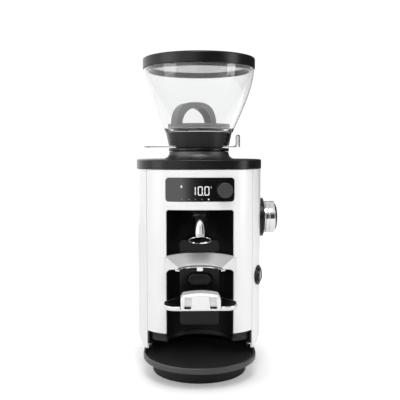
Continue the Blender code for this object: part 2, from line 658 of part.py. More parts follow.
# ---- grounds tray --------------------------------------------------------------------------------
def tray_outline(inset):
    """Round in front, straight at the sides, with a half-round lobe at the back."""
    half = TRAY_RADIUS - inset
    rear = TRAY_REAR_Y - inset
    lobe = TRAY_LOBE_RADIUS - inset
    return (arc((0.0, TRAY_FRONT_CENTRE_Y), half, 180.0, 360.0, 24)
            + [(half, rear - 10.0), (half - 10.0, rear)]
            + arc((0.0, rear), lobe, 0.0, 180.0, 12)
            + [(10.0 - half, rear), (-half, rear - 10.0)])


def make_tray():
    tray = slab("grounds_tray", [tray_outline(0.0)], TRAY_LOW, TRAY_BACK_TOP, "black_plastic")
    wall_front = TRAY_REAR_Y - TRAY_WALL
    cut(tray, slab("tray_dish", [tray_outline(TRAY_WALL)], TRAY_FLOOR, FAR),
        block("tray_front_cut", (-FAR, -FAR, TRAY_RIM), (FAR, wall_front, FAR)),
        block("tray_left_cut", (-FAR, -FAR, TRAY_RIM), (-66.0, FAR, FAR)),
        block("tray_right_cut", (66.0, -FAR, TRAY_RIM), (FAR, FAR, FAR)))
    shade(tray)


# ---- grind dial and adjusting gear ---------------------------------------------------------------
def make_dial():
    collar = rod("dial_collar", DIAL_COLLAR_RADIUS, side_x(0.0) - 6.0, DIAL_COLLAR_FACE_X, "black_plastic",
                 at=(0.0, 0.0, DIAL_Z), axis=RIGHT, steps=28)
    cut(collar, slab("collar_seat", [body_outline(-GAP)], 0.0, FAR),
        rod("collar_hole", 5.0, 0.0, FAR, at=(0.0, 0.0, DIAL_Z), axis=RIGHT, steps=TINY_STEPS))
    knob_low = DIAL_COLLAR_FACE_X + 0.7
    turned("dial_knob",
           [(5.0, DIAL_KNOB_END_X - 1.5), (DIAL_CAP_RADIUS + 0.4, DIAL_KNOB_END_X - 1.5),
            (DIAL_CAP_RADIUS + 0.4, DIAL_KNOB_END_X), (DIAL_KNOB_RADIUS - 0.8, DIAL_KNOB_END_X),
            (DIAL_KNOB_RADIUS, DIAL_KNOB_END_X - 0.8), (DIAL_KNOB_RADIUS, knob_low), (5.0, knob_low)],
           "chrome", at=(0.0, 0.0, DIAL_Z), axis=RIGHT, steps=28)
    cap_low = DIAL_KNOB_END_X - 1.5 + GAP
    turned("dial_cap",
           [(0.0, DIAL_CAP_END_X), (9.0, DIAL_CAP_END_X - 0.5), (15.5, DIAL_CAP_END_X - 1.8),
            (DIAL_CAP_RADIUS, DIAL_CAP_END_X - 3.6), (DIAL_CAP_RADIUS, cap_low), (0.0, cap_low)],
           "black_gloss", at=(0.0, 0.0, DIAL_Z), axis=RIGHT, steps=28)
    shaft = rod("dial_pinion_shaft", 4.0, PINION_LOW_X + 1.0, cap_low - GAP, "brass", at=(0.0, 0.0, DIAL_Z),
                axis=RIGHT, steps=TINY_STEPS)
    join(shaft, slab("dial_pinion", [pinion_outline()], PINION_LOW_X, PINION_HIGH_X, axis=RIGHT,
                     at=(0.0, 0.0, DIAL_Z)))
    ring("dial_bush", 4.4, 9.0, 66.0, 80.0, "brass", at=(0.0, 0.0, DIAL_Z), axis=RIGHT, steps=TINY_STEPS)


def pinion_outline():
    """Straight-sided teeth with plenty of backlash; a space faces the crown at rest."""
    half = 0.5 * TOOTH_DEPTH
    points = []
    for tooth in range(PINION_TEETH):
        middle = 2.0 * math.pi * (tooth + 0.5) / PINION_TEETH
        for radius, offset in ((PITCH_RADIUS - half - 0.2, -1.0), (PITCH_RADIUS + half, -0.5),
                               (PITCH_RADIUS + half, 0.5), (PITCH_RADIUS - half - 0.2, 1.0)):
            angle = middle + offset / radius
            points.append((radius * math.cos(angle), radius * math.sin(angle)))
    return points


def make_adjuster():
    high = UPPER_CARRIER_TOP
    low = high - ADJUSTER_THICK
    crown_root = DIAL_Z + PITCH_RADIUS + 0.5 * TOOTH_DEPTH + 0.4
    inner, outer = CROWN_RADIUS - 2.5, CROWN_RADIUS + 2.5
    crown = ring("adjusting_ring", HOUSING_RADIUS + 2.9, outer, low, high, "brass")
    skirt = slab("crown_skirt", [sector(inner, outer, CROWN_HALF_ANGLE, 10)], crown_root, low + 1.0)
    join(crown, skirt)
    step = 360.0 / CROWN_TEETH
    for index in range(-6, 7):
        tooth = crown_tooth("crown_tooth_%d" % (index + 6), crown_root, inner, outer)
        tooth.rotation_euler.z = math.radians(index * step)
        join(crown, tooth)


def sector(inner, outer, half_angle, count):
    """A piece of a ring about the +X direction."""
    return (arc((0.0, 0.0), outer, -half_angle, half_angle, count)
            + arc((0.0, 0.0), inner, half_angle, -half_angle, count))


def crown_tooth(name, root, inner, outer):
    """One straight-sided tooth that points down, at the +X side of the crown."""
    middle = 0.5 * (inner + outer)
    reach = 0.5 * (outer - inner) - 0.4
    tip = root - TOOTH_DEPTH
    mesh = bpy.data.meshes.new(name)
    bm = bmesh.new()
    bmesh.ops.create_cube(bm, size=2.0)
    for vert in bm.verts:
        upper = vert.co.z > 0.0
        vert.co.x = (middle + vert.co.x * reach) * MM
        vert.co.y *= (1.0 if upper else 0.5) * MM
        vert.co.z = (root + 0.8 if upper else tip) * MM
    bm.to_mesh(mesh)
    bm.free()
    return place(name, mesh)


# ---- burrs, shaft and motor ----------------------------------------------------------------------
def make_grinding_set():
    floor_top = HOUSING_LOW + HOUSING_FLOOR
    chamber = HOUSING_RADIUS - HOUSING_WALL
    shaft_hole = SHAFT_RADIUS + 1.2
    housing = turned("burr_housing",
                     [(chamber, HOUSING_TOP), (HOUSING_RADIUS, HOUSING_TOP), (HOUSING_RADIUS, HOUSING_LOW),
                      (shaft_hole, HOUSING_LOW), (shaft_hole, floor_top), (chamber, floor_top)],
                     "brushed_aluminium")
    cut(housing, rod("housing_port", 6.5, 20.0, FAR, at=(0.0, 0.0, GROUNDS_PORT_Z), axis=FRONT,
                     steps=TINY_STEPS))
    carrier_top = LOWER_BURR_Z - GAP
    bore = SHAFT_RADIUS + GAP
    rim = BURR_RADIUS + 6.0
    turned("lower_burr_carrier",
           [(bore, carrier_top), (BURR_RADIUS + 2.0, carrier_top), (rim, carrier_top - 2.5),
            (rim, carrier_top - 4.5), (9.0, carrier_top - 4.5), (9.0, carrier_top - BURR_CARRIER_HEIGHT),
            (bore, carrier_top - BURR_CARRIER_HEIGHT)], "brushed_aluminium", steps=28)
    land = BURR_RADIUS - 6.0
    turned("lower_burr", [(BURR_BORE, LOWER_BURR_TOP - 2.4), (land, LOWER_BURR_TOP),
                          (BURR_RADIUS, LOWER_BURR_TOP), (BURR_RADIUS, LOWER_BURR_Z),
                          (BURR_BORE, LOWER_BURR_Z)], "burr_steel", steps=28)
    turned("upper_burr", [(BURR_BORE, UPPER_BURR_TOP), (BURR_RADIUS, UPPER_BURR_TOP),
                          (BURR_RADIUS, UPPER_BURR_LOW), (land, UPPER_BURR_LOW),
                          (BURR_BORE, UPPER_BURR_LOW + 2.4)], "burr_steel", steps=28)
    throat = BURR_BORE + 0.5
    turned("upper_burr_carrier",
           [(throat, UPPER_CARRIER_TOP), (HOUSING_RADIUS + 2.5, UPPER_CARRIER_TOP),
            (HOUSING_RADIUS + 2.5, UPPER_CARRIER_LOW), (chamber - 1.0, UPPER_CARRIER_LOW),
            (chamber - 1.0, UPPER_BURR_TOP + GAP), (throat, UPPER_BURR_TOP + GAP)], "brushed_aluminium")
    nut_low = carrier_top + GAP
    nut_bore = bore / math.cos(math.pi / 6.0)
    nut_top = nut_low + 5.0
    turned("shaft_nut", [(nut_bore, nut_top), (9.0, nut_top), (10.0, nut_low), (nut_bore, nut_low)],
           "dark_steel", steps=6)
    rod("motor_shaft", SHAFT_RADIUS, MOTOR_LOW - 28.0, nut_low + 7.0, "bright_steel")


def make_motor():
    wall = 2.0
    seat = 11.3
    deck = 8.0
    can_inner = MOTOR_RADIUS - wall
    turned("motor_can", [(seat, MOTOR_TOP), (MOTOR_RADIUS, MOTOR_TOP), (MOTOR_RADIUS, MOTOR_LOW),
                         (can_inner, MOTOR_LOW), (can_inner, MOTOR_TOP - deck), (seat, MOTOR_TOP - deck)],
           "dark_steel", steps=28)
    bell_top = MOTOR_LOW - GAP
    ring("motor_end_bell", seat, MOTOR_RADIUS, bell_top - deck, bell_top, "brushed_aluminium", steps=28)
    for name, low in (("upper_bearing", MOTOR_TOP - deck + 0.5), ("lower_bearing", bell_top - deck + 0.5)):
        ring(name, SHAFT_RADIUS + GAP, seat - GAP, low, low + deck - 1.0, "bright_steel", steps=SMALL_STEPS)
    ring("stator", 20.5, can_inner - GAP, MOTOR_LOW + 14.0, MOTOR_TOP - 18.0, "copper",
         steps=SMALL_STEPS)
    ring("armature", SHAFT_RADIUS + GAP, 19.0, MOTOR_LOW + 12.0, MOTOR_TOP - 16.0, "dark_steel",
         steps=SMALL_STEPS)
    fan_top = bell_top - deck - 4.0
    turned("cooling_fan",
           [(SHAFT_RADIUS + GAP, fan_top), (9.0, fan_top), (9.0, fan_top - 6.0), (26.0, fan_top - 6.0),
            (26.0, fan_top - 9.0), (SHAFT_RADIUS + GAP, fan_top - 9.0)],
           "black_plastic", steps=SMALL_STEPS)


def make_chassis():
    """A bracket on two legs that carries the motor and the grinding chamber."""
    low, high = CHASSIS_TOP - CHASSIS_THICK, CHASSIS_TOP
    leg_low = BASE_PLATE_TOP + GAP
    chassis = block("chassis", (-44.0, -31.0, low), (44.0, 30.0, high), "dark_steel")
    reach = CHASSIS_LEG_X + CHASSIS_LEG_HALF
    join(chassis, block("chassis_tail", (-reach, 28.0, low), (reach, CHASSIS_REAR_Y, high)))
    for index, side in enumerate((-1.0, 1.0)):
        middle = side * CHASSIS_LEG_X
        join(chassis, block("chassis_leg_%d" % index,
                            (middle - CHASSIS_LEG_HALF, CHASSIS_REAR_Y - 12.0, leg_low),
                            (middle + CHASSIS_LEG_HALF, CHASSIS_REAR_Y, high - 1.0)))
    cut(chassis, rod("chassis_hole", 16.0, 0.0, FAR))


# ---- electrics -----------------------------------------------------------------------------------
def make_electrics():
    floor = BASE_PLATE_TOP + GAP
    block("control_board", (-40.0, 84.0, floor + 40.0), (40.0, 84.0 + BOARD_THICK, floor + 120.0),
          "board_green")
    hole = SWITCH_BUTTON_RADIUS + 0.5
    bezel = turned("switch_bezel",
                   [(hole, 2.6), (SWITCH_BEZEL_RADIUS - 1.0, 2.6), (SWITCH_BEZEL_RADIUS, 1.4),
                    (SWITCH_BEZEL_RADIUS, -6.0), (11.0, -6.0), (11.0, SWITCH_BACK), (hole, SWITCH_BACK)],
                   "black_plastic", at=SWITCH_POINT, axis=SWITCH_NORMAL, steps=24)
    seat = slab("bezel_seat", [body_outline(-GAP)], 0.0, FAR)
    cut(seat, rod("bezel_barrel", 11.0, -40.0, 20.0, at=SWITCH_POINT, axis=SWITCH_NORMAL, steps=24))
    cut(bezel, seat)
    turned("power_button",
           [(0.0, 5.2), (SWITCH_BUTTON_RADIUS - 1.6, 4.9), (SWITCH_BUTTON_RADIUS, 3.6),
            (SWITCH_BUTTON_RADIUS, -5.0), (0.0, -5.0)],
           "black_gloss", at=SWITCH_POINT, axis=SWITCH_NORMAL)
    rod("power_switch", 8.0, SWITCH_REAR, SWITCH_BACK, "grey_plastic", at=SWITCH_POINT,
        axis=SWITCH_NORMAL)
    face = back_y(GLAND_X)
    gland = turned("cord_inlet",
                   [(GLAND_BORE, face + 3.0), (9.0, face + 3.0), (10.5, face - 6.0), (7.2, face - 6.0),
                    (7.2, face - 14.0), (GLAND_BORE, face - 14.0)],
                   "rubber", at=(GLAND_X, 0.0, GLAND_Z), axis=BACK, steps=SMALL_STEPS)
    gland_seat = slab("gland_seat", [body_outline(-GAP)], 0.0, FAR)
    cut(gland_seat, rod("gland_barrel", 7.2, 0.0, FAR, at=(GLAND_X, 0.0, GLAND_Z), axis=BACK))
    cut(gland, gland_seat)


# ---- neck, hopper and lid ------------------------------------------------------------------------
def make_neck():
    base = COVER_TOP + GAP
    flare = bezier((NECK_RADIUS, NECK_TOP), (NECK_RADIUS + 0.5, NECK_TOP - 6.5),
                   (NECK_RADIUS + 3.0, base + 1.8),
                   (NECK_FOOT_RADIUS, base), 4)
    spigot = NECK_RADIUS + 0.2
    throat, throat_low = BURR_BORE + 1.0, UPPER_CARRIER_TOP + 1.0
    below = [(spigot, base), (spigot, throat_low + 12.0), (18.0, throat_low), (throat, throat_low),
             (throat, throat_low + 3.0), (NECK_BORE, NECK_TOP - 12.0)]
    turned("hopper_neck", [(NECK_BORE, NECK_TOP)] + flare + below, "black_plastic")
    ring("neck_ring", NECK_BORE, NECK_RADIUS + 0.8, NECK_TOP + GAP, COLLAR_LOW - GAP, "bright_steel")


def make_collar():
    bore = GATE_HOLE_RADIUS
    collar = turned("hopper_collar",
                    [(42.0, COLLAR_TOP), (COLLAR_TOP_RADIUS, COLLAR_TOP), (COLLAR_LOW_RADIUS, COLLAR_LOW),
                     (36.5, COLLAR_LOW), (36.5, 284.0), (33.0, 284.0), (bore, COLLAR_LOW - 2.0), (bore, 303.5),
                     (40.0, 318.0)], "black_plastic")
    slot_low, slot_high = GATE_Z - 0.4, GATE_Z + GATE_THICK + 0.4
    reach = GATE_HALF_WIDTH + 0.5
    cut(collar, block("gate_slot", (-FAR, -reach, slot_low), (FAR, reach, slot_high)))
    half = GATE_HALF_WIDTH
    middle = 0.5 * (GATE_LEFT_X + GATE_RIGHT_X)
    length = 0.5 * (GATE_RIGHT_X - GATE_LEFT_X)
    outline = [(x + middle, y) for x, y in rounded_box(length, -half, half, 3.0, 2)]
    gate = slab("hopper_gate", [outline, arc((0.0, 0.0), bore, 0.0, 345.0, 23)], GATE_Z, GATE_Z + GATE_THICK,
                "bright_steel")
    right, top, sheet = GATE_RIGHT_X - 0.4, GATE_TAB_TOP, GATE_THICK
    low, foot = GATE_Z + 0.3, 2.5
    fold = [(right - sheet, low), (right, low), (right, top - sheet), (right + foot + 3.0, top - sheet),
            (right + foot + 3.0, low - 0.9), (right + foot + 3.0 + sheet, low - 0.9),
            (right + foot + 3.0 + sheet, top), (right - sheet, top)]
    tab = slab("gate_tab", [fold], -14.0, 14.0)
    tab.rotation_euler.x = math.radians(90.0)
    join(gate, tab)


def hopper_outer(count=6):
    """The hopper's outer profile, from its rim down."""
    low = COLLAR_TOP + GAP
    return bezier((HOPPER_RIM_RADIUS, HOPPER_TOP), (72.0, 372.0), (57.0, 345.0),
                  (HOPPER_FOOT_RADIUS, low), count)


def make_hopper():
    outer = hopper_outer()
    inner = [(radius - HOPPER_WALL, height) for radius, height in reversed(outer)]
    low = outer[-1][1]
    mouth = HOPPER_FOOT_RADIUS - HOPPER_WALL - 1.6
    inner[0] = (mouth, low)
    turned("hopper", outer + inner, "clear_plastic")
    seat_low = low + GAP
    guard = ring("bean_guard", mouth - 3.6, mouth - GAP, seat_low, 332.0, "grey_plastic")
    thick, deep = 8.0, 10.0
    crown_z = GUARD_HEIGHT - GUARD_SPAN
    foot = seat_low + 0.5
    inner_span = GUARD_SPAN - thick
    outline = (arc((0.0, crown_z), GUARD_SPAN, 0.0, 180.0, 12) + [(-GUARD_SPAN, foot), (-inner_span, foot)]
               + arc((0.0, crown_z), inner_span, 180.0, 0.0, 12) + [(inner_span, foot), (GUARD_SPAN, foot)])
    arch = slab("guard_arch", [outline], -deep, deep)
    arch.rotation_euler = (math.radians(90.0), 0.0, GUARD_TURN)
    arch.location = (GUARD_SHIFT * MM, 0.0, 0.0)
    bar = block("guard_bar", (2.0 - mouth, -5.0, foot), (mouth - 2.0, 5.0, seat_low + 4.0),
                turn_z=GUARD_TURN)
    join(guard, bar, arch)


def make_lid():
    low = HOPPER_TOP + GAP
    top = low + LID_HEIGHT
    wall = 2.5
    inside = LID_RADIUS - wall
    turned("hopper_lid", [(0.0, top), (LID_RADIUS - 3.0, top), (LID_RADIUS - 0.8, top - 0.8),
                          (LID_RADIUS, top - 3.0), (LID_RADIUS, low), (inside, low), (inside, top - wall),
                          (0.0, top - wall)], "black_plastic")
    plate_low = low + GAP
    plate_top = plate_low + 2.0
    edge = inside - 0.4
    turned("lid_plug", [(0.0, plate_top), (edge, plate_top), (edge, plate_low), (70.5, plate_low),
                        (70.5, plate_low - 4.0), (68.5, plate_low - 4.0), (68.5, plate_low),
                        (0.0, plate_low)], "black_gloss")


make_foot()
make_base_plate()
make_side_shell()
make_front_panel()
make_top_cover()
make_recess_liner()
make_holder_plate()
make_display()
make_control_knob()
make_spout()
make_chute()
make_fork()
make_rest()
make_trigger()
make_tray()
make_dial()
make_adjuster()
make_grinding_set()
make_motor()
make_chassis()
make_electrics()
make_neck()
make_collar()
make_hopper()
make_lid()
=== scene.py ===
"""Burr coffee grinder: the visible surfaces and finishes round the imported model.

Lengths are in millimetres until a mesh is made. X is right, -Y the front, +Z up, and the floor is z = 0.
A sheet is a grid of points, rows by columns; a piece is one or more sheets welded into a closed skin.
"""
import math

import bmesh
import bpy
import numpy as np
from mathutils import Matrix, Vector


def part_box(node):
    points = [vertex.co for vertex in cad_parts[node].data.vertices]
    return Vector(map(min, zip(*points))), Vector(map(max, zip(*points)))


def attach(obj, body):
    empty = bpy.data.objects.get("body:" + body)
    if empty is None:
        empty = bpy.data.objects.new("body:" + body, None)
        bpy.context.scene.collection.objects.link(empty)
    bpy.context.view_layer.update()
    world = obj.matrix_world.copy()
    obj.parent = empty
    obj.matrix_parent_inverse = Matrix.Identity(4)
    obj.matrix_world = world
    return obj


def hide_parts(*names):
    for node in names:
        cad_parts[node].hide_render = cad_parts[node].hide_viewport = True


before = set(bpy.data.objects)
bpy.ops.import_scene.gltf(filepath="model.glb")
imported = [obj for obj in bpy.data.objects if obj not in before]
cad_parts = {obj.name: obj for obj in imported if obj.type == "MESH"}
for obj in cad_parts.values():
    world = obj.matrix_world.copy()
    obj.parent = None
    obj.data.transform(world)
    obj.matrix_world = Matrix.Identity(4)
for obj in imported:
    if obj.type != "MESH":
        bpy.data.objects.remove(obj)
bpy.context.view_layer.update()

MM = 0.001
LOW = {node: np.array(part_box(node)[0]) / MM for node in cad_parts}
HIGH = {node: np.array(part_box(node)[1]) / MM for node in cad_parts}

RIGHT = (1.0, 0.0, 0.0)
FRONT = (0.0, -1.0, 0.0)
BACK = (0.0, 1.0, 0.0)
UP = (0.0, 0.0, 1.0)

# ---- housing in plan ------------------------------------------------------------------------------
HALF_WIDTH = 84.8
HALF_DEPTH = 101.0
CENTRE_Y = 21.0
PLAN_POWER = 3.0
WALL = 2.5
SEAM_X = 69.0
PANEL_REACH = SEAM_X - 0.5      # the front panel ends short of the seam
RECESS_RADIUS = 43.0
RECESS_Y = -80.0
RECESS_TOP = 220.0
MOUTH_HALF = 43.5
MOUTH_ROUND = 4.0
DISPLAY_Z = 245.8
DISPLAY_HALF = (44.0, 15.25)
GAP = 0.3


# ---- curves ---------------------------------------------------------------------------------------
def rounded(corners, steps=5, loop=True):
    """Corners (a, b, radius) with each corner turned into an arc.

    The arc runs between the tangent points p + u r / tan(h) and p + v r / tan(h), where u and v point to
    the neighbours and h is half the angle between them; points between are spherical mixes of both radii.
    """
    table = np.array(corners, float)
    p, r = table[:, :2], table[:, 2]
    if not loop:
        r = r.copy()
        r[[0, -1]] = 0.0
    to_last, to_next = np.roll(p, 1, 0) - p, np.roll(p, -1, 0) - p
    u = to_last / np.maximum(np.linalg.norm(to_last, axis=1), 1e-9)[:, None]
    v = to_next / np.maximum(np.linalg.norm(to_next, axis=1), 1e-9)[:, None]
    half = 0.5 * np.arccos(np.clip((u * v).sum(1), -1.0, 1.0))
    half = np.clip(half, 1e-4, None)
    middle = u + v
    middle /= np.maximum(np.linalg.norm(middle, axis=1), 1e-9)[:, None]
    centre = p + middle * (r / np.sin(half))[:, None]
    first = p + u * (r / np.tan(half))[:, None] - centre
    last = p + v * (r / np.tan(half))[:, None] - centre
    sweep = np.pi - 2.0 * half
    s = np.linspace(0.0, 1.0, steps + 1)[None, :]
    safe = np.where(np.sin(sweep) < 1e-6, 1.0, np.sin(sweep))[:, None]
    a = np.where(sweep[:, None] < 1e-4, 1.0 - s, np.sin((1.0 - s) * sweep[:, None]) / safe)
    b = np.where(sweep[:, None] < 1e-4, s, np.sin(s * sweep[:, None]) / safe)
    points = centre[:, None] + a[..., None] * first[:, None] + b[..., None] * last[:, None]
    return without_repeats(points.reshape(-1, 2), loop)


def without_repeats(points, loop=True):
    """The same polyline without points that lie on the one before."""
    gap = np.linalg.norm(points - np.roll(points, 1, 0), axis=1)
    keep = gap > 1e-4
    if not loop:
        keep[0] = True
    return points[keep]


def bezier(start, first, second, end, count):
    """Cubic curve: (1-t)^3 a + 3t(1-t)^2 b + 3t^2(1-t) c + t^3 d."""
    t = np.linspace(0.0, 1.0, count)[:, None]
    a, b, c, d = (np.array(p, float) for p in (start, first, second, end))
    return (1 - t) ** 3 * a + 3 * t * (1 - t) ** 2 * b + 3 * t * t * (1 - t) * c + t ** 3 * d


def evenly(starts, spacing):
    """The closed polyline with extra points, so that no step is longer than `spacing`; its corners stay."""
    ends = np.roll(starts, -1, 0)
    parts = np.ceil(np.linalg.norm(ends - starts, axis=1) / spacing).astype(int).clip(1)
    index = np.repeat(np.arange(len(starts)), parts)
    step = np.arange(parts.sum()) - np.repeat(np.cumsum(parts) - parts, parts)
    share = (step / parts[index])[:, None]
    return starts[index] * (1 - share) + ends[index] * share


def smooth_step(x, low, high):
    """0 below low, 1 above high, 3s^2 - 2s^3 between."""
    s = np.clip((x - low) / (high - low), 0.0, 1.0)
    return s * s * (3.0 - 2.0 * s)


def round_points(radius, turn, x=0.0, y=0.0):
    """Points of a circle about (x, y) at each angle."""
    return np.column_stack([x + radius * np.cos(turn), y + radius * np.sin(turn)])


def stadium(radius, low_y, high_y, columns):
    """Two half circles of one radius with centres at (0, low_y) and (0, high_y)."""
    turn = np.linspace(0.0, math.pi, columns // 2)
    return np.vstack([round_points(radius, turn, y=high_y), round_points(-radius, turn, y=low_y)])


def box_outline(half_x, low, high, radius, steps=6):
    """A rectangle with round corners in (x, z), anticlockwise seen from the front."""
    return rounded([(half_x, low, radius), (half_x, high, radius), (-half_x, high, radius),
                    (-half_x, low, radius)], steps)


def box_reach(turn, half_right, half_left, up, down, radius):
    """Distance from the centre to a rectangle with round corners, in the direction of each angle."""
    c, s = np.cos(turn), np.sin(turn)
    wide = np.where(c > 0, half_right, half_left)
    tall = np.where(s > 0, up, down)
    flat = np.minimum(wide / np.maximum(np.abs(c), 1e-9), tall / np.maximum(np.abs(s), 1e-9))
    x, y = np.abs(flat * c), np.abs(flat * s)
    in_corner = (x > wide - radius) & (y > tall - radius)
    along = np.abs(c) * (wide - radius) + np.abs(s) * (tall - radius)
    rest = (wide - radius) ** 2 + (tall - radius) ** 2 - radius ** 2
    curved = along + np.sqrt(np.maximum(along ** 2 - rest, 0.0))
    return np.where(in_corner, curved, flat)


def plan_reach(turn, out=0.0):
    """Distance from the housing's centre to its outline: (|c/a|^n + |s/b|^n)^(-1/n)."""
    a, b = HALF_WIDTH + out, HALF_DEPTH + out
    n = PLAN_POWER
    return (np.abs(np.cos(turn) / a) ** n + np.abs(np.sin(turn) / b) ** n) ** (-1.0 / n)


def front_y(x, depth=0.0):
    """Front face of the housing at x, moved back by depth: b (1 - |x/a|^n)^(1/n)."""
    a, b = HALF_WIDTH - depth, HALF_DEPTH - depth
    return CENTRE_Y - b * np.maximum(1.0 - np.abs(x / a) ** PLAN_POWER, 0.0) ** (1.0 / PLAN_POWER)


def side_x(y, out=0.0):
    """Half-width of the housing at y."""
    a, b = HALF_WIDTH + out, HALF_DEPTH + out
    return a * np.maximum(1.0 - np.abs((y - CENTRE_Y) / b) ** PLAN_POWER, 0.0) ** (1.0 / PLAN_POWER)


def back_y(x, out=0.0):
    """Back face of the housing at x."""
    return 2.0 * CENTRE_Y - front_y(x, -out)


SEAM_TURN = math.atan2(float(front_y(SEAM_X)) - CENTRE_Y, SEAM_X)     # angle of the right front seam


# ---- sheets ---------------------------------------------------------------------------------------
def sheet(points, loop_rows=False, loop_columns=True, ends=False):
    """A grid of points; its rows or columns may run round, and faces may close the first and last row."""
    return points, loop_rows, loop_columns, ends


def around(reach, turn, heights, centre_y=0.0):
    """Points at a distance and an angle from an upright line at (0, centre_y), with one height to a row."""
    height = np.broadcast_to(np.array(heights, float)[:, None], reach.shape)
    return np.dstack([reach * np.cos(turn), centre_y + reach * np.sin(turn), height])


def upright(outline, profile, rise=None):
    """Row k is the outline moved out by profile[k][0] along its normal, at height profile[k][1].

    `rise` gives a height at each point of the outline, which row k takes in the share profile[k][2].
    """
    profile = np.array(profile, float)
    tangent = np.roll(outline, -1, 0) - np.roll(outline, 1, 0)
    tangent /= np.linalg.norm(tangent, axis=1)[:, None]
    normal = np.column_stack([tangent[:, 1], -tangent[:, 0]])
    plan = outline[None] + profile[:, 0, None, None] * normal[None]
    height = np.broadcast_to(profile[:, 1, None], plan.shape[:2])
    if rise is not None:
        height = height + profile[:, 2, None] * rise(outline)[None]
    return sheet(np.dstack([plan, height]), ends=True)


def facing(outline, profile, ground=None):
    """As upright(), drawn in (x, z), with profile[k][1] as the depth y; `ground` adds a depth at each x."""
    points = upright(outline, profile)[0]
    depth = points[..., 2] + (0.0 if ground is None else ground(points[..., 0]))
    return sheet(np.dstack([points[..., 0], depth, points[..., 1]]), ends=True)


def housing_rings(profile, columns=176):
    """Row k is the housing's outline grown by profile[k][0], at height profile[k][1]."""
    profile = np.array(profile, float)
    turn = np.linspace(0.0, 2.0 * math.pi, columns, endpoint=False)[None, :]
    return around(plan_reach(turn, profile[:, 0, None]), turn, profile[:, 1], CENTRE_Y)


def axes_of(direction):
    """Two unit vectors square to a direction, and the direction itself."""
    w = np.array(direction, float)
    w /= np.linalg.norm(w)
    helper = np.array(UP) if abs(w[2]) < 0.9 else np.array(BACK)
    u = np.cross(helper, w)
    u /= np.linalg.norm(u)
    return u, np.cross(w, u), w


def turned(profile, at=(0.0, 0.0, 0.0), axis=UP, columns=112, loop_rows=False, arc=None, shape=None):
    """Surface of revolution: at + r cos t u + r sin t v + h w.

    `arc` limits t to two angles in degrees and closes the two ends; `shape` may change (r, h) by (r, h, t).
    """
    profile = np.array(profile, float)
    r, h = profile[:, 0, None], profile[:, 1, None]
    if arc is None:
        turn = np.linspace(0.0, 2.0 * math.pi, columns, endpoint=False)[None, :]
    else:
        turn = np.radians(np.linspace(arc[0], arc[1], columns))[None, :]
    if shape is not None:
        r, h = shape(r, h, turn)
    u, v, w = axes_of(axis)
    r, h, turn = np.broadcast_arrays(r, h, turn)
    points = (np.array(at, float) + (r * np.cos(turn))[..., None] * u
              + (r * np.sin(turn))[..., None] * v + h[..., None] * w)
    if arc is None:
        return sheet(points, loop_rows)
    return sheet(points.transpose(1, 0, 2), ends=True)


def along(path, normals, side, section):
    """A closed section carried along a path: path + section_a normal + section_b side."""
    section = np.array(section, float)
    points = (path[:, None] + section[None, :, 0, None] * normals[:, None]
              + section[None, :, 1, None] * np.array(side, float))
    return sheet(points, ends=True)


def quads(rows, columns, loop_rows, loop_columns):
    """Corner numbers of a grid's faces: each point with the next in its row and in its column."""
    i = np.arange(rows if loop_rows else rows - 1)[:, None]
    j = np.arange(columns if loop_columns else columns - 1)[None, :]
    next_i, next_j = (i + 1) % rows, (j + 1) % columns
    corners = (i * columns + j, i * columns + next_j, next_i * columns + next_j, next_i * columns + j)
    return np.stack(np.broadcast_arrays(*corners), -1).reshape(-1, 4)


def piece(name, sheets, finish, body, replaces=(), wall=0.0, edge=0.0, inside=None, crease=38.0):
    """A finished piece: sheets are welded, faces turned outwards, walls and edges added."""
    points, faces, start = [], [], 0
    for grid, loop_rows, loop_columns, ends in sheets:
        rows, columns = grid.shape[:2]
        points.append(grid.reshape(-1, 3))
        faces += (quads(rows, columns, loop_rows, loop_columns) + start).tolist()
        if ends:
            faces.append(list(range(start, start + columns)))
            faces.append(list(range(start + rows * columns - 1, start + (rows - 1) * columns - 1, -1)))
        start += rows * columns
    mesh = bpy.data.meshes.new(name)
    mesh.from_pydata(np.vstack(points) * MM, [], faces)
    bm = bmesh.new()
    bm.from_mesh(mesh)
    bmesh.ops.remove_doubles(bm, verts=bm.verts, dist=0.000002)
    bmesh.ops.recalc_face_normals(bm, faces=bm.faces)
    if inside is not None:
        middle = Vector(inside) * MM
        outward = sum(f.normal.dot(f.calc_center_median() - middle) * f.calc_area() for f in bm.faces)
        if outward < 0.0:
            bmesh.ops.reverse_faces(bm, faces=bm.faces)
    bm.to_mesh(mesh)
    bm.free()
    mesh.shade_smooth()
    mesh.set_sharp_from_angle(angle=math.radians(crease))
    mesh.materials.append(finish)
    made = bpy.data.objects.new(name, mesh)
    bpy.context.scene.collection.objects.link(made)
    if wall:
        thick = made.modifiers.new("wall", "SOLIDIFY")
        thick.thickness = wall * MM
        thick.offset = -1.0
        thick.use_even_offset = True
    if edge:
        soft = made.modifiers.new("edge", "BEVEL")
        soft.width = edge * MM
        soft.segments = 3
        soft.limit_method = "ANGLE"
        soft.angle_limit = math.radians(50.0)
    even = made.modifiers.new("even_shading", "WEIGHTED_NORMAL")
    even.keep_sharp = True
    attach(made, body)
    if replaces:
        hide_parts(*replaces)


# ---- shader helpers -------------------------------------------------------------------------------
def node(tree, kind, inputs=None, **settings):
    """One node with its settings; an input is a value or another node's output."""
    made = tree.nodes.new(kind)
    for key, value in settings.items():
        setattr(made, key, value)
    for key, value in (inputs or {}).items():
        if isinstance(value, bpy.types.NodeSocket):
            tree.links.new(value, made.inputs[key])
        else:
            made.inputs[key].default_value = value
    return made


def maths(tree, operation, *values):
    """The result of one arithmetic node."""
    return node(tree, "ShaderNodeMath", dict(enumerate(values)), operation=operation).outputs[0]


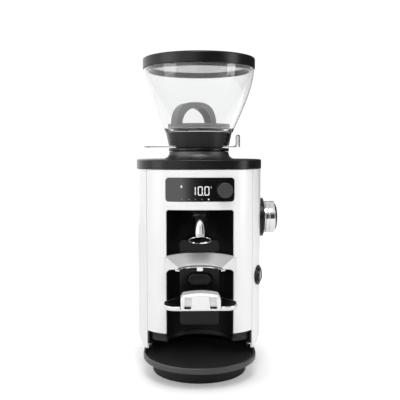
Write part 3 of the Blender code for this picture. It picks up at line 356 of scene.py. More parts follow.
def carried(tree, value, low, high, start=0.0, end=1.0, **settings):
    """A value carried from the range low to high into the range start to end, and kept inside it."""
    given = {"Value": value, "From Min": low, "From Max": high, "To Min": start, "To Max": end}
    return node(tree, "ShaderNodeMapRange", given, **settings).outputs[0]


def noise(tree, place, scale, detail, roughness=0.5):
    """Noise between 0 and 1."""
    given = {"Vector": place, "Scale": scale, "Detail": detail, "Roughness": roughness}
    return node(tree, "ShaderNodeTexNoise", given).outputs["Fac"]


def bumped(tree, height, strength, distance):
    """The normal of a surface that a height raises."""
    given = {"Height": height, "Strength": strength, "Distance": distance}
    return node(tree, "ShaderNodeBump", given).outputs["Normal"]


def object_place(tree):
    """The place on the object, in metres."""
    return node(tree, "ShaderNodeTexCoord").outputs["Object"]


def xyz(tree, vector):
    """The three parts of a vector."""
    return node(tree, "ShaderNodeSeparateXYZ", {0: vector}).outputs


def link(tree, target, outputs):
    """Joins outputs to a node's inputs by name."""
    for label, output in outputs.items():
        tree.links.new(output, target.inputs[label])


def new_group(name, inputs, outputs):
    """An empty group, what it is given and its output node; inputs are (name, type, value)."""
    tree = bpy.data.node_groups.new(name, "ShaderNodeTree")
    for label, kind, value in inputs:
        tree.interface.new_socket(label, in_out="INPUT", socket_type=kind).default_value = value
    for label, kind in outputs:
        tree.interface.new_socket(label, in_out="OUTPUT", socket_type=kind)
    return tree, node(tree, "NodeGroupInput").outputs, node(tree, "NodeGroupOutput")


FLOAT, VECTOR = "NodeSocketFloat", "NodeSocketVector"


def grain_group():
    """Moulded or sprayed surface: two sizes of noise, as a bump and as uneven roughness."""
    tree, given, out = new_group(
        "moulded_grain",
        [("Scale", FLOAT, 1500.0), ("Bump", FLOAT, 0.1), ("Roughness", FLOAT, 0.4), ("Spread", FLOAT, 0.08)],
        [("Normal", VECTOR), ("Roughness", FLOAT), ("Mask", FLOAT)])
    place = object_place(tree)
    fine = noise(tree, place, given["Scale"], 3.0, 0.6)
    broad = noise(tree, place, 28.0, 4.0, 0.55)
    centred = maths(tree, "SUBTRACT", broad, 0.5)
    rough = maths(tree, "MULTIPLY_ADD", centred, given["Spread"], given["Roughness"])
    link(tree, out, {"Normal": bumped(tree, fine, given["Bump"], 0.0002), "Roughness": rough, "Mask": broad})
    return tree


def dust_group():
    """Fine dust that settles on faces that look up, broken up by noise."""
    tree, given, out = new_group("settled_dust", [("Amount", FLOAT, 0.1)], [("Mask", FLOAT)])
    place = object_place(tree)
    facing_up = xyz(tree, node(tree, "ShaderNodeNewGeometry").outputs["Normal"])["Z"]
    specks = carried(tree, noise(tree, place, 900.0, 5.0, 0.7), 0.5, 0.75)
    patchy = maths(tree, "MULTIPLY", specks, noise(tree, place, 35.0, 3.0))
    on_top = maths(tree, "MULTIPLY", patchy, carried(tree, facing_up, 0.5, 1.0))
    link(tree, out, {"Mask": maths(tree, "MULTIPLY", on_top, given["Amount"])})
    return tree


def brush_group():
    """Brushed metal: fine noise stretched along the brush, as bump, roughness and shade.

    Round 0 brushes along X; Round 1 brushes round an upright axis through Centre.
    """
    tree, given, out = new_group(
        "brushed_lines",
        [("Centre", VECTOR, (0.0, 0.0, 0.0)), ("Round", FLOAT, 0.0), ("Bump", FLOAT, 0.2),
         ("Roughness", FLOAT, 0.3), ("Spread", FLOAT, 0.15)],
        [("Normal", VECTOR), ("Roughness", FLOAT), ("Shade", FLOAT)])
    moved = node(tree, "ShaderNodeVectorMath", {0: object_place(tree), 1: given["Centre"]},
                 operation="SUBTRACT").outputs[0]
    part = xyz(tree, moved)
    level = node(tree, "ShaderNodeCombineXYZ", {"X": part["X"], "Y": part["Y"]}).outputs[0]
    radius = node(tree, "ShaderNodeVectorMath", {0: level}, operation="LENGTH").outputs["Value"]
    slow_turn = maths(tree, "MULTIPLY", maths(tree, "ARCTAN2", part["Y"], part["X"]), 0.002)
    ringed = node(tree, "ShaderNodeCombineXYZ", {"X": slow_turn, "Y": radius, "Z": part["Z"]}).outputs[0]
    straight = node(tree, "ShaderNodeVectorMath", {0: moved, 1: (0.03, 1.0, 1.0)},
                    operation="MULTIPLY").outputs[0]
    chosen = node(tree, "ShaderNodeMix", {0: given["Round"], 4: straight, 5: ringed},
                  data_type="VECTOR").outputs[1]
    lines = noise(tree, chosen, 3500.0, 3.0, 0.7)
    centred = maths(tree, "SUBTRACT", lines, 0.5)
    rough = maths(tree, "MULTIPLY_ADD", centred, given["Spread"], given["Roughness"])
    link(tree, out, {"Normal": bumped(tree, lines, given["Bump"], 0.0001), "Roughness": rough,
                     "Shade": lines})
    return tree


GRAIN = grain_group()
DUST = dust_group()
BRUSH = brush_group()


def new_finish(name, metallic=0.0, **fixed):
    """A material, its tree and its shader; `fixed` are values that are the same all over."""
    made = bpy.data.materials.new(name)
    made.use_nodes = True
    shader = made.node_tree.nodes["Principled BSDF"]
    shader.inputs["Metallic"].default_value = metallic
    for key, value in fixed.items():
        shader.inputs[key.replace("_", " ")].default_value = value
    return made, made.node_tree, shader


def two_tone(tree, mask, dark, light):
    """A colour between two by a mask."""
    given = {0: mask, 6: (*dark, 1.0), 7: (*light, 1.0)}
    return node(tree, "ShaderNodeMix", given, data_type="RGBA").outputs[2]


def moulded(name, dark, light, scale, bump, roughness, spread, dust=0.0, **fixed):
    """Painted or moulded finish: grain, uneven gloss, a slight change of colour, and dust on top faces."""
    made, tree, shader = new_finish(name, **fixed)
    values = {"Scale": scale, "Bump": bump, "Roughness": roughness, "Spread": spread}
    grain = node(tree, "ShaderNodeGroup", values, node_tree=GRAIN).outputs
    colour = two_tone(tree, grain["Mask"], dark, light)
    if dust:
        settled = node(tree, "ShaderNodeGroup", {"Amount": dust}, node_tree=DUST).outputs
        colour = node(tree, "ShaderNodeMix", {0: settled["Mask"], 6: colour, 7: DUST_COLOUR},
                      data_type="RGBA").outputs[2]
    link(tree, shader, {"Base Color": colour, "Roughness": grain["Roughness"], "Normal": grain["Normal"]})
    return made


def brushed(name, dark, light, round_it, bump, roughness, spread, metallic=1.0, centre_y=0.0):
    """Brushed metal, with lines along X or round the upright axis at centre_y (mm); a low metallic share
    gives the paler look of a blasted surface."""
    made, tree, shader = new_finish(name, metallic=metallic)
    values = {"Centre": (0.0, centre_y * MM, 0.0), "Round": round_it, "Bump": bump, "Roughness": roughness,
              "Spread": spread}
    lines = node(tree, "ShaderNodeGroup", values, node_tree=BRUSH).outputs
    link(tree, shader, {"Base Color": two_tone(tree, lines["Shade"], dark, light),
                        "Roughness": lines["Roughness"], "Normal": lines["Normal"]})
    return made


def grey(level):
    """A neutral colour."""
    return level, level, level


DUST_COLOUR = (0.35, 0.34, 0.33, 1.0)
STRAIGHT, ROUND = 0.0, 1.0
FORK_Y = -92.0      # the fork's cone and its brushing are round this line

white_paint = moulded("white_paint", grey(0.80), grey(0.84), 700.0, 0.05, 0.30, 0.10,
                      Coat_Weight=0.35, Coat_Roughness=0.12)
black_plastic = moulded("satin_black_plastic", grey(0.004), grey(0.007), 2600.0, 0.18, 0.28, 0.12, dust=0.05,
                        Specular_IOR_Level=0.32)
tray_black = moulded("tray_black_plastic", grey(0.009), grey(0.013), 2600.0, 0.12, 0.42, 0.12, dust=0.04,
                     Specular_IOR_Level=0.9)
black_matte = moulded("matte_black_plastic", grey(0.002), grey(0.0035), 2200.0, 0.3, 0.45, 0.12,
                      Specular_IOR_Level=0.16)
black_gloss = moulded("polished_black_plastic", grey(0.004), grey(0.007), 900.0, 0.02, 0.10, 0.10,
                      Coat_Weight=0.5, Coat_Roughness=0.05)
dark_glass = moulded("display_glass", grey(0.003), grey(0.004), 600.0, 0.01, 0.06, 0.05,
                     Coat_Weight=1.0, Coat_Roughness=0.04)
grey_plastic = moulded("grey_plastic", (0.030, 0.030, 0.034), (0.038, 0.037, 0.042), 2400.0, 0.2, 0.42, 0.1)
switch_grey = moulded("switch_grey_plastic", (0.014, 0.013, 0.014), (0.019, 0.018, 0.019), 2400.0, 0.2,
                      0.38, 0.1)
guard_grey = moulded("guard_grey_plastic", grey(0.14), grey(0.18), 1800.0, 0.15, 0.45, 0.1)
pointer_white = moulded("pointer_white", grey(0.85), grey(0.9), 800.0, 0.05, 0.4, 0.05)
cream = moulded("cream_plastic", (0.78, 0.76, 0.70), (0.86, 0.84, 0.78), 1500.0, 0.1, 0.4, 0.1)
rubber = moulded("rubber", grey(0.007), grey(0.011), 3000.0, 0.45, 0.6, 0.15, dust=0.06,
                 Specular_IOR_Level=0.3)
board_green = moulded("circuit_board", (0.010, 0.09, 0.04), (0.03, 0.16, 0.08), 420.0, 0.3, 0.42, 0.2)
chrome = moulded("chrome", (0.80, 0.80, 0.82), (0.90, 0.90, 0.92), 500.0, 0.01, 0.07, 0.06, metallic=1.0)
sheet_steel = moulded("sheet_steel", grey(0.34), grey(0.42), 900.0, 0.03, 0.24, 0.12, metallic=1.0)
bright_steel = moulded("polished_steel", (0.72, 0.72, 0.73), (0.86, 0.86, 0.87), 900.0, 0.02, 0.17, 0.12,
                       metallic=1.0)
brushed_cone = brushed("brushed_aluminium", (0.70, 0.70, 0.71), (0.86, 0.86, 0.87), ROUND, 0.25, 0.45, 0.25,
                       metallic=0.30, centre_y=FORK_Y)
brushed_bar = brushed("brushed_aluminium_bar", (0.82, 0.82, 0.83), (0.90, 0.90, 0.91), STRAIGHT, 0.18, 0.36,
                      0.22, metallic=0.35)
turned_metal = brushed("turned_aluminium", (0.55, 0.55, 0.56), (0.78, 0.78, 0.80), ROUND, 0.3, 0.34, 0.2)
burr_steel = brushed("burr_steel", (0.30, 0.30, 0.32), (0.52, 0.52, 0.54), ROUND, 0.4, 0.32, 0.2)
dark_steel = brushed("dark_steel", (0.08, 0.08, 0.09), (0.17, 0.17, 0.18), STRAIGHT, 0.3, 0.45, 0.2)
brass = brushed("brass", (0.62, 0.46, 0.20), (0.82, 0.64, 0.32), ROUND, 0.25, 0.30, 0.2)


def winding_copper():
    """Enamelled wire: 120 upright ridges round the motor's axis, coloured by ridge height: painted shade in
    the grooves between wires and a painted highlight on each crest.
    """
    made, tree, shader = new_finish("copper_winding", metallic=1.0, Coat_Weight=0.4, Roughness=0.3)
    part = xyz(tree, object_place(tree))
    wires = maths(tree, "MULTIPLY", maths(tree, "ARCTAN2", part["Y"], part["X"]), 120.0)
    level = maths(tree, "MULTIPLY_ADD", maths(tree, "SINE", wires), 0.5, 0.5)
    # painted shade and painted highlight: the colour runs dark in each groove and light on each crest,
    # following the ridge height
    link(tree, shader, {"Base Color": two_tone(tree, level, (0.30, 0.11, 0.05), (0.80, 0.38, 0.20)),
                        "Normal": bumped(tree, level, 0.6, 0.0003)})
    return made


def clear_wall():
    """Clear moulded plastic with a faint haze of coffee oil low down."""
    made, tree, shader = new_finish("clear_plastic", Transmission_Weight=1.0, IOR=1.49)
    place = object_place(tree)
    low_down = carried(tree, xyz(tree, place)["Z"], 0.345, 0.322)
    haze = maths(tree, "MULTIPLY", noise(tree, place, 45.0, 5.0, 0.6), low_down)
    link(tree, shader, {"Roughness": maths(tree, "MULTIPLY_ADD", haze, 0.10, 0.012),
                        "Base Color": two_tone(tree, haze, (0.934, 0.937, 0.938), (0.915, 0.915, 0.91))})
    return made


def glowing(name, colour, strength):
    """A lit mark, with the slight unevenness of its backlight."""
    made, tree, shader = new_finish(name, Roughness=0.3, Emission_Strength=strength,
                                    Base_Color=(0.02, 0.02, 0.02, 1.0))
    dim = [0.88 * c for c in colour]
    spots = noise(tree, object_place(tree), 260.0, 2.0)
    link(tree, shader, {"Emission Color": two_tone(tree, spots, dim, colour)})
    return made


copper = winding_copper()
clear_plastic = clear_wall()
lit_white = glowing("lit_white", (1.0, 0.99, 1.0), 1.0)
lit_dim = glowing("lit_dim", (0.42, 0.38, 0.46), 0.5)


# ---- foot, pedestal, base plate and tray ----------------------------------------------------------
def make_foot():
    """Rubber foot, the deck on it that carries the tray, and the column behind the tray."""
    top = HIGH["foot_plate"][2]
    radius = HIGH["foot_plate"][0]
    rear = HIGH["foot_plate"][1] - radius
    front = LOW["foot_plate"][1] + radius
    edge = rounded([(-6.0, 0.0, 0.0), (0.0, 0.0, 2.0), (0.0, top, 1.6), (-6.0, top, 0.0)], 5, loop=False)
    piece("foot", [upright(stadium(radius, front, rear, 128), edge)], rubber, "housing", ["foot_plate"])
    deck_low, column_top = LOW["pedestal"][2], HIGH["pedestal"][2]
    deck_top = LOW["grounds_tray"][2] - GAP
    radius = HIGH["pedestal"][0]
    edge = rounded([(-6.0, deck_low, 0.0), (0.0, deck_low, 1.0), (0.0, deck_top, 1.2), (-6.0, deck_top, 0.0)],
                   4, loop=False)
    piece("pedestal_deck", [upright(stadium(radius, front, rear, 120), edge)], black_plastic, "housing",
          ["pedestal"])
    column_front = 30.0
    start = math.asin((column_front - rear) / radius)
    column = round_points(radius, np.linspace(start, math.pi - start, 60), y=rear)
    piece("pedestal_column", [upright(column, [(0.0, deck_top), (0.0, column_top)])], black_plastic,
          "housing", ["pedestal"])


def make_base_plate():
    """A floor with a round notch for the recess, and a low rim at each side of the front."""
    low, top = LOW["base_plate"][2], HIGH["base_plate"][2]
    floor = low + 6.3
    inset, rim_wall = WALL + 1.0, 3.0
    notch = round_points(RECESS_RADIUS, np.radians(np.linspace(188.0, -8.0, 60)), y=RECESS_Y)
    notch = notch[notch[:, 1] > front_y(notch[:, 0], inset)]
    start = math.atan2(notch[-1, 1] - CENTRE_Y, notch[-1, 0]) + 0.01
    turn = np.linspace(start, math.pi - start, 160)
    rim = round_points(plan_reach(turn, -inset), turn, y=CENTRE_Y)
    piece("base_floor", [upright(np.vstack([rim, notch]), [(0.0, low), (0.0, floor)])], black_plastic,
          "housing", ["base_plate"], edge=0.6)
    section = np.array([(0.0, floor), (0.0, top), (-rim_wall, top), (-rim_wall, floor)])
    for side, part in (("right", turn[turn < 0.3]), ("left", turn[turn > math.pi - 0.3])):
        reach = plan_reach(part[None, :], section[:, 0, None] - inset)
        wall = around(reach, part, section[:, 1], CENTRE_Y).transpose(1, 0, 2)
        piece("base_rim_" + side, [sheet(wall, ends=True)], black_plastic, "housing", ["base_plate"],
              edge=0.4)


def tray_plan():
    """Round in front, straight at the sides, with a half-round lobe at the back."""
    half = HIGH["grounds_tray"][0]
    front_y_centre, rear, lobe = -48.0, -18.0, 42.0
    front = round_points(half, np.radians(np.linspace(180.0, 360.0, 73)), y=front_y_centre)
    back = round_points(lobe, np.radians(np.linspace(6.0, 174.0, 49)), y=rear)
    right = rounded([(half, front_y_centre, 0.0), (half, rear, 10.0), (lobe + 2.0, rear, 0.0)], 8, loop=False)
    left = (right * (-1.0, 1.0))[::-1]
    return evenly(without_repeats(np.vstack([front, right[1:], back, left[:-1]])), 1.2)


def make_tray():
    low, high = LOW["grounds_tray"][2], HIGH["grounds_tray"][2]
    rim, floor, wall = 30.0, 26.0, 3.5

    def rise(plan):
        """The rim climbs to the tray's full height across the back."""
        at_back = smooth_step(plan[:, 1], -28.0, -22.5)
        return (high - rim) * at_back * smooth_step(-np.abs(plan[:, 0]), -70.5, -66.0)

    profile = rounded([(-8.0, low, 0.0), (0.0, low, 2.2), (0.0, rim, 1.3), (-wall, rim, 1.2),
                       (-wall, floor, 2.6), (-9.0, floor, 0.0)], 6, loop=False)
    share = smooth_step(profile[:, 1], floor + 2.5, rim - 1.6)
    piece("tray", [upright(tray_plan(), np.column_stack([profile, share]), rise=rise)], tray_black, "tray",
          ["grounds_tray"])


# ---- housing --------------------------------------------------------------------------------------
def make_side_shell():
    """The paint shell: from the right seam round the back to the left seam, with a rounded lower edge."""
    low, high = LOW["side_shell"][2], HIGH["side_shell"][2]
    turn = np.linspace(SEAM_TURN, math.pi - SEAM_TURN, 200)[None, :]
    bend = 12.0
    quarter = np.linspace(0.0, 0.5 * math.pi, 13)
    inset = np.concatenate([[0.0], bend * (1.0 - np.cos(quarter))])
    height = np.concatenate([[high], low + bend * (1.0 - np.sin(quarter))])
    from_seam = np.minimum(turn - SEAM_TURN, math.pi - SEAM_TURN - turn)
    reach = plan_reach(turn, -inset[:, None] * smooth_step(from_seam, 0.06, 0.40))
    piece("side_panels", [sheet(around(reach, turn, height, CENTRE_Y), loop_columns=False)], white_paint,
          "housing", ["side_shell"], wall=WALL, edge=0.5,
          inside=(0.0, CENTRE_Y, 0.5 * (low + high)))


def make_corner_shade_sheets():
    """Dark sheets of painted shade between the base plate and the shell's turned-in edge, behind the front
    seams.
    """
    low, high = HIGH["grounds_tray"][2] + 0.6, LOW["front_panel"][2] - 0.4
    path = np.array([(-0.04, -0.8), (-0.008, -0.8), (-0.008, -7.6), (0.14, -7.6), (0.14, -10.5),
                     (-0.04, -10.5)])
    turn = SEAM_TURN + path[:, 0]
    right = round_points(plan_reach(turn, path[:, 1]), turn, y=CENTRE_Y)
    for side, outline in (("right", right), ("left", (right * (-1.0, 1.0))[::-1])):
        # painted shade: matte black sheets that darken the inside of the shell's corners
        piece("corner_painted_shade_" + side, [upright(outline, [(0.0, low), (0.0, high)])], black_matte,
              "housing", [])


def make_front_panel():
    """The white front: two legs beside the recess, a bridge with the recess's round corners, and a window."""
    low, high = LOW["front_panel"][2], HIGH["front_panel"][2]
    corner = MOUTH_HALF - MOUTH_ROUND + MOUTH_ROUND * np.sin(np.linspace(0.0, 0.5 * math.pi, 7))
    leg = np.linspace(MOUTH_HALF, PANEL_REACH, 9)
    middle = np.linspace(0.0, MOUTH_HALF - MOUTH_ROUND, 14)
    right = np.unique(np.concatenate([middle, corner, leg]))
    across = np.concatenate([-right[:0:-1], right])
    bridge_low, bridge_top = RECESS_TOP - MOUTH_ROUND, RECESS_TOP + 4.0
    over = (np.abs(across) - MOUTH_HALF + MOUTH_ROUND).clip(0)
    arch = np.sqrt(np.clip(MOUTH_ROUND ** 2 - over ** 2, 0, None))
    under = bridge_low + np.where(np.abs(across) >= MOUTH_HALF, 0.0, arch)

    def on_front(x, z, **loops):
        """Points on the housing's front face."""
        x, z = np.broadcast_arrays(x, z)
        return sheet(np.dstack([x, front_y(x), z]), **loops)

    bridge = np.vstack([under, np.full_like(under, bridge_top)])
    leg_ends = np.array([low, bridge_low])[:, None]
    sheets = [on_front(x, z, loop_columns=False)
              for x, z in ((across[None, :], bridge), (-leg[None, :], leg_ends), (leg[None, :], leg_ends))]
    up, down = high - DISPLAY_Z, DISPLAY_Z - bridge_top
    bottom = np.arctan2(-down, across)
    sides = np.arctan2(np.linspace(-down, up, 9)[1:-1], PANEL_REACH)
    top = np.arctan2(up, across)
    turn = np.concatenate([bottom, sides, top[::-1], math.pi - sides[::-1]])
    half_x, half_z = DISPLAY_HALF
    inner = box_reach(turn, half_x, half_x, half_z, half_z, 4.0)
    outer = box_reach(turn, PANEL_REACH, PANEL_REACH, up, down, 0.0)
    share = np.linspace(0.0, 1.0, 8)[:, None]
    reach = inner * (1 - share) + outer * share
    sheets.append(on_front(reach * np.cos(turn), DISPLAY_Z + reach * np.sin(turn)))
    piece("front_panel_skin", sheets, white_paint, "housing", ["front_panel"], wall=WALL,
          edge=0.5, inside=(0.0, CENTRE_Y, 200.0))


def make_top_cover():
    """A flat cover with a soft upper edge and a round hole for the neck."""
    low, top = LOW["top_cover"][2], HIGH["top_cover"][2]
    out = HIGH["top_cover"][0] - HALF_WIDTH
    hole = 41.7
    outer = rounded([(out - 3.0, low, 0.0), (out, low, 0.5), (out, top, 1.8), (out - 12.0, top, 0.0)], 6,
                    loop=False)
    rings = housing_rings(outer)
    turn = np.linspace(0.0, 2.0 * math.pi, rings.shape[1], endpoint=False)
    lip = rounded([(hole + 6.0, top, 0.0), (hole, top, 0.6), (hole, top - 3.0, 0.0)], 3, loop=False)[1:]
    circle = around(np.repeat(lip[:, :1], len(turn), axis=1), turn, lip[:, 1])
    under = housing_rings([(-3.0, top - 3.0), (-3.0, low)])
    piece("top_cover_skin", [sheet(np.vstack([rings, circle, under]), loop_rows=True)], black_plastic,
          "housing", ["top_cover"])


def make_recess():
    """Half-round wall of the recess, turned over into its ceiling, which runs out to the front panel."""
    low = LOW["recess_liner"][2]
    behind_panel = WALL + 0.4
    start = math.acos(42.3 / RECESS_RADIUS)
    line = round_points(RECESS_RADIUS, np.linspace(start, math.pi - start, 72), y=RECESS_Y)
    wall_x, wall_y = line[:, 0], np.maximum(line[:, 1], front_y(line[:, 0], behind_panel))
    round_up = rounded([(0.0, low, 0.0), (0.0, RECESS_TOP, 3.0), (1.0, RECESS_TOP, 0.0)], 6, loop=False)[:-1]
    share = np.concatenate([round_up[:, 0] / 43.0, [0.15, 0.5, 1.0]])[:, None]
    height = np.concatenate([round_up[:, 1], [RECESS_TOP] * 3])[:, None]
    x = wall_x * (1.0 - np.minimum(share, 0.15))
    y = wall_y * (1 - share) + front_y(x, behind_panel) * share
    points = np.dstack([x, y, np.broadcast_to(height, y.shape)])
    piece("recess_lining", [sheet(points, loop_columns=False)], black_matte, "housing", ["recess_liner"],
          wall=-1.6, inside=(0.0, RECESS_Y, 140.0))


def make_holder_plate():
    """Flat plate with soft corners and the lying hole of the switch button."""
    low, high = LOW["holder_plate"][2], HIGH["holder_plate"][2]
    face, back = LOW["holder_plate"][1], HIGH["holder_plate"][1]
    half = HIGH["holder_plate"][0]
    middle = 126.3
    corners = np.arctan2([high - middle, low - middle] * 2, [half, half, -half, -half])
    turn = np.unique(np.concatenate([np.linspace(-math.pi, math.pi, 120, endpoint=False), corners]))
    outline = box_reach(turn, half, half, high - middle, middle - low, 4.5)
    hole = box_reach(turn, 16.1, 16.1, 8.1, 8.1, 8.05)
    reach = np.array([hole, hole, hole + 0.5, outline - 0.9, outline - 0.25, outline, outline])
    depth = np.array([back, face + 0.5, face, face, face + 0.25, face + 0.9, back])
    points = around(reach, turn, depth)[..., [0, 2, 1]] + (0.0, 0.0, middle)
    piece("holder_back_plate", [sheet(points, loop_rows=True)], black_plastic, "housing", ["holder_plate"])


# ---- display --------------------------------------------------------------------------------------
def make_display():
    """Dark glass that follows the panel's curve; columns at each x run between the rounded box's edges."""
    half_x, half_z = DISPLAY_HALF[0] - GAP, DISPLAY_HALF[1] - GAP
    radius = 3.7
    bend = half_x - radius + radius * np.sin(np.linspace(0.0, 0.5 * math.pi, 8))
    right = np.unique(np.concatenate([np.linspace(0.0, half_x - radius, 20), bend]))
    across = np.concatenate([-right[:0:-1], right])
    over = (np.abs(across) - half_x + radius).clip(0)
    tall = half_z - radius + np.sqrt(np.clip(radius ** 2 - over ** 2, 0, None))
    z = DISPLAY_Z + np.linspace(-1.0, 1.0, 7)[:, None] * tall
    x = np.broadcast_to(across, z.shape)
    points = np.dstack([x, front_y(x, 0.35), z])
    piece("display_window", [sheet(points, loop_columns=False)], dark_glass, "housing", ["display_glass"],
          wall=2.2, edge=0.4, inside=(0.0, CENTRE_Y, DISPLAY_Z))


def lit_mark(name, outlines, finish):
    """Thin lit shapes that lie on the display's glass."""
    sheets = [facing(outline, [(0.0, 0.5), (0.0, 0.27)], ground=front_y) for outline in outlines]
    piece(name, sheets, finish, "housing", [])


def segment(x0, z0, x1, z1, width=1.25):
    """One bar of a digit with pointed ends, between two points."""
    start, end = np.array((x0, z0), float), np.array((x1, z1), float)
    way = (end - start) / np.linalg.norm(end - start)
    side = np.array((-way[1], way[0])) * 0.5 * width
    tip = way * 0.5 * width
    return np.array([start, start + tip - side, end - tip - side, end, end - tip + side, start + tip + side])


def digit(x, low, high, width, bars):
    """A digit of seven bars: top, upper left, upper right, middle, lower left, lower right, bottom."""
    mid = 0.5 * (low + high)
    right = x + width
    ends = ((x, high, right, high), (x, mid, x, high), (right, mid, right, high), (x, mid, right, mid),
            (x, low, x, mid), (right, low, right, mid), (x, low, right, low))
    return [segment(*end) for end, on in zip(ends, bars) if on == "1"]


def disc(x, z, radius, count=14):
    """A flat round mark."""
    return round_points(radius, np.linspace(0.0, 2.0 * math.pi, count, endpoint=False), x, z)


def make_display_marks():
    """Three digits with a point, a drop, and a row of small lamps of which one is lit."""
    low, high = 239.1, 249.5
    digits = digit(-6.0, low, high, 0.01, "0010010") + digit(-2.3, low, high, 5.1, "1110111")
    digits += digit(6.1, low, high, 5.1, "1110111")
    decimal_point, tick = disc(4.45, 238.8, 0.62), segment(13.6, 250.0, 14.4, 247.6, 0.7)
    lit_mark("display_digits", digits + [decimal_point, tick], lit_white)
    turn = np.linspace(0.0, 2.0 * math.pi, 24, endpoint=False)
    drop = np.column_stack([-23.5 + 1.375 * np.sin(turn) * np.sin(turn / 2), 250.0 + 1.9 * np.cos(turn)])
    lit_mark("display_drop", [drop[::-1]], lit_white)
    icons_z = 233.6
    lit_mark("display_icons", [disc(x, icons_z, 0.8, 10) for x in (-23.0, -14.0, -6.0, 2.4)], lit_dim)
    lit_mark("display_icon_on", [disc(10.8, icons_z, 0.95, 12)], lit_white)


def make_control_knob():
    """A short round knob with a dished face and 36 shallow flutes."""
    low, high = LOW["control_knob"], HIGH["control_knob"]
    x, z = 0.5 * (low[0] + high[0]), 0.5 * (low[2] + high[2])
    radius = 0.5 * (high[0] - low[0])
    face, back = -low[1], -high[1]
    profile = rounded([(0.0, back, 0.0), (radius - 0.4, back, 0.3), (radius, back + 2.0, 0.5),
                       (radius, face, 1.1), (radius - 2.4, face - 0.15, 0.3), (0.0, face - 0.45, 0.0)], 5,
                      loop=False)

    def fluted(r, h, turn):
        """Shallow flutes on the rim."""
        on_side = smooth_step(r, radius - 1.2, radius - 0.3) * smooth_step(-h, -face + 0.6, -face + 1.6)
        return r - 0.16 * on_side * (0.5 + 0.5 * np.cos(36.0 * turn)), h

    piece("control_knob_cap", [turned(profile, (x, 0.0, z), FRONT, 216, shape=fluted)], grey_plastic, "knob",
          ["control_knob"])


# ---- spout and fork -------------------------------------------------------------------------------
SPOUT_TILT = math.radians(33.0)
SPOUT_AXIS = (0.0, math.sin(SPOUT_TILT), math.cos(SPOUT_TILT))
SPOUT_TOP = (0.0, -58.0, 209.0)


def make_spout():
    """Flared bright pipe lined inside with a matte black sheet of painted shade, hung on a leaning axis under
    a conical collar.
    """
    wall = 1.2
    outer = bezier((10.0, 0.0), (10.0, -15.0), (11.4, -25.0), (15.0, -33.2), 20)
    inner = (outer - (wall, 0.0))[::-1]
    lip = np.array([(14.85, -33.55), (14.4, -33.7), (13.95, -33.5)])

    def cut_level(r, h, turn):
        """The mouth is cut nearer to level: its front side reaches lower than its rear."""
        return r, h - 0.16 * smooth_step(-h, 8.0, 33.0) * r * np.sin(turn)

    pipe = turned(np.vstack([outer, lip, inner]), SPOUT_TOP, SPOUT_AXIS, 112, True, shape=cut_level)
    piece("spout_pipe", [pipe], chrome, "housing", ["spout"])
    # painted shade: a thin matte black sheet just inside the pipe's inner wall stands in for the shadow
    # inside the pipe
    painted_shade_liner = np.vstack([inner - (0.03, 0.0), (inner - (0.3, 0.0))[::-1]])
    painted_shade_liner[:, 1] = np.maximum(painted_shade_liner[:, 1], -32.5)
    piece("spout_painted_shade_liner", [turned(without_repeats(painted_shade_liner), SPOUT_TOP, SPOUT_AXIS, 96, True, shape=cut_level)],
          black_matte, "housing", ["spout"])
    cone = rounded([(10.3, 15.0, 0.0), (14.4, 15.0, 0.4), (14.4, 10.0, 2.0), (11.6, -1.5, 0.4),
                    (10.3, -1.5, 0.2)], 4)
    piece("spout_collar", [turned(cone, SPOUT_TOP, SPOUT_AXIS, 96, True)], black_plastic, "housing",
          ["spout_sleeve"])


def make_fork():
    """Half a cone with a solid wedge section, flat at the front ends and against the plate."""
    rear, top = HIGH["funnel_fork"][1:]
    profile = rounded([(41.0, top, 0.5), (45.7, top, 0.6), (45.7, 157.75, 0.05), (42.2, 157.75, 0.05),
                       (42.2, 157.35, 0.05), (45.7, 157.35, 0.05), (45.7, 142.6, 0.8), (42.5, 142.6, 0.8),
                       (39.6, 146.5, 2.2), (28.0, 146.8, 0.8), (27.4, 149.0, 0.6)], 4)
    points, _, _, _ = turned(profile, (0.0, FORK_Y, 0.0), UP, 97, arc=(0.0, 180.0))
    points[..., 1] = np.minimum(points[..., 1], rear)
    piece("fork_cone", [sheet(points, ends=True)], brushed_cone, "housing", ["funnel_fork"],
          crease=50.0)
    low, high = LOW["funnel_lip"], HIGH["funnel_lip"]
    lip = rounded([(26.2, high[2] - 0.9, 0.3), (31.4, high[2], 0.4), (31.4, high[2] - 1.4, 0.4),
                   (26.2, high[2] - 2.2, 0.4)], 4)
    tab = box_outline(4.2, low[2], high[2] - 0.6, 1.0, 4)
    piece("fork_lip", [turned(lip, (0.0, FORK_Y, 0.0), UP, 81, arc=(0.0, 180.0)),
                       facing(tab, [(0.0, FORK_Y + 28.4), (0.0, FORK_Y + 26.9), (-0.3, FORK_Y + 26.6)])],
          chrome, "housing", ["funnel_lip"])


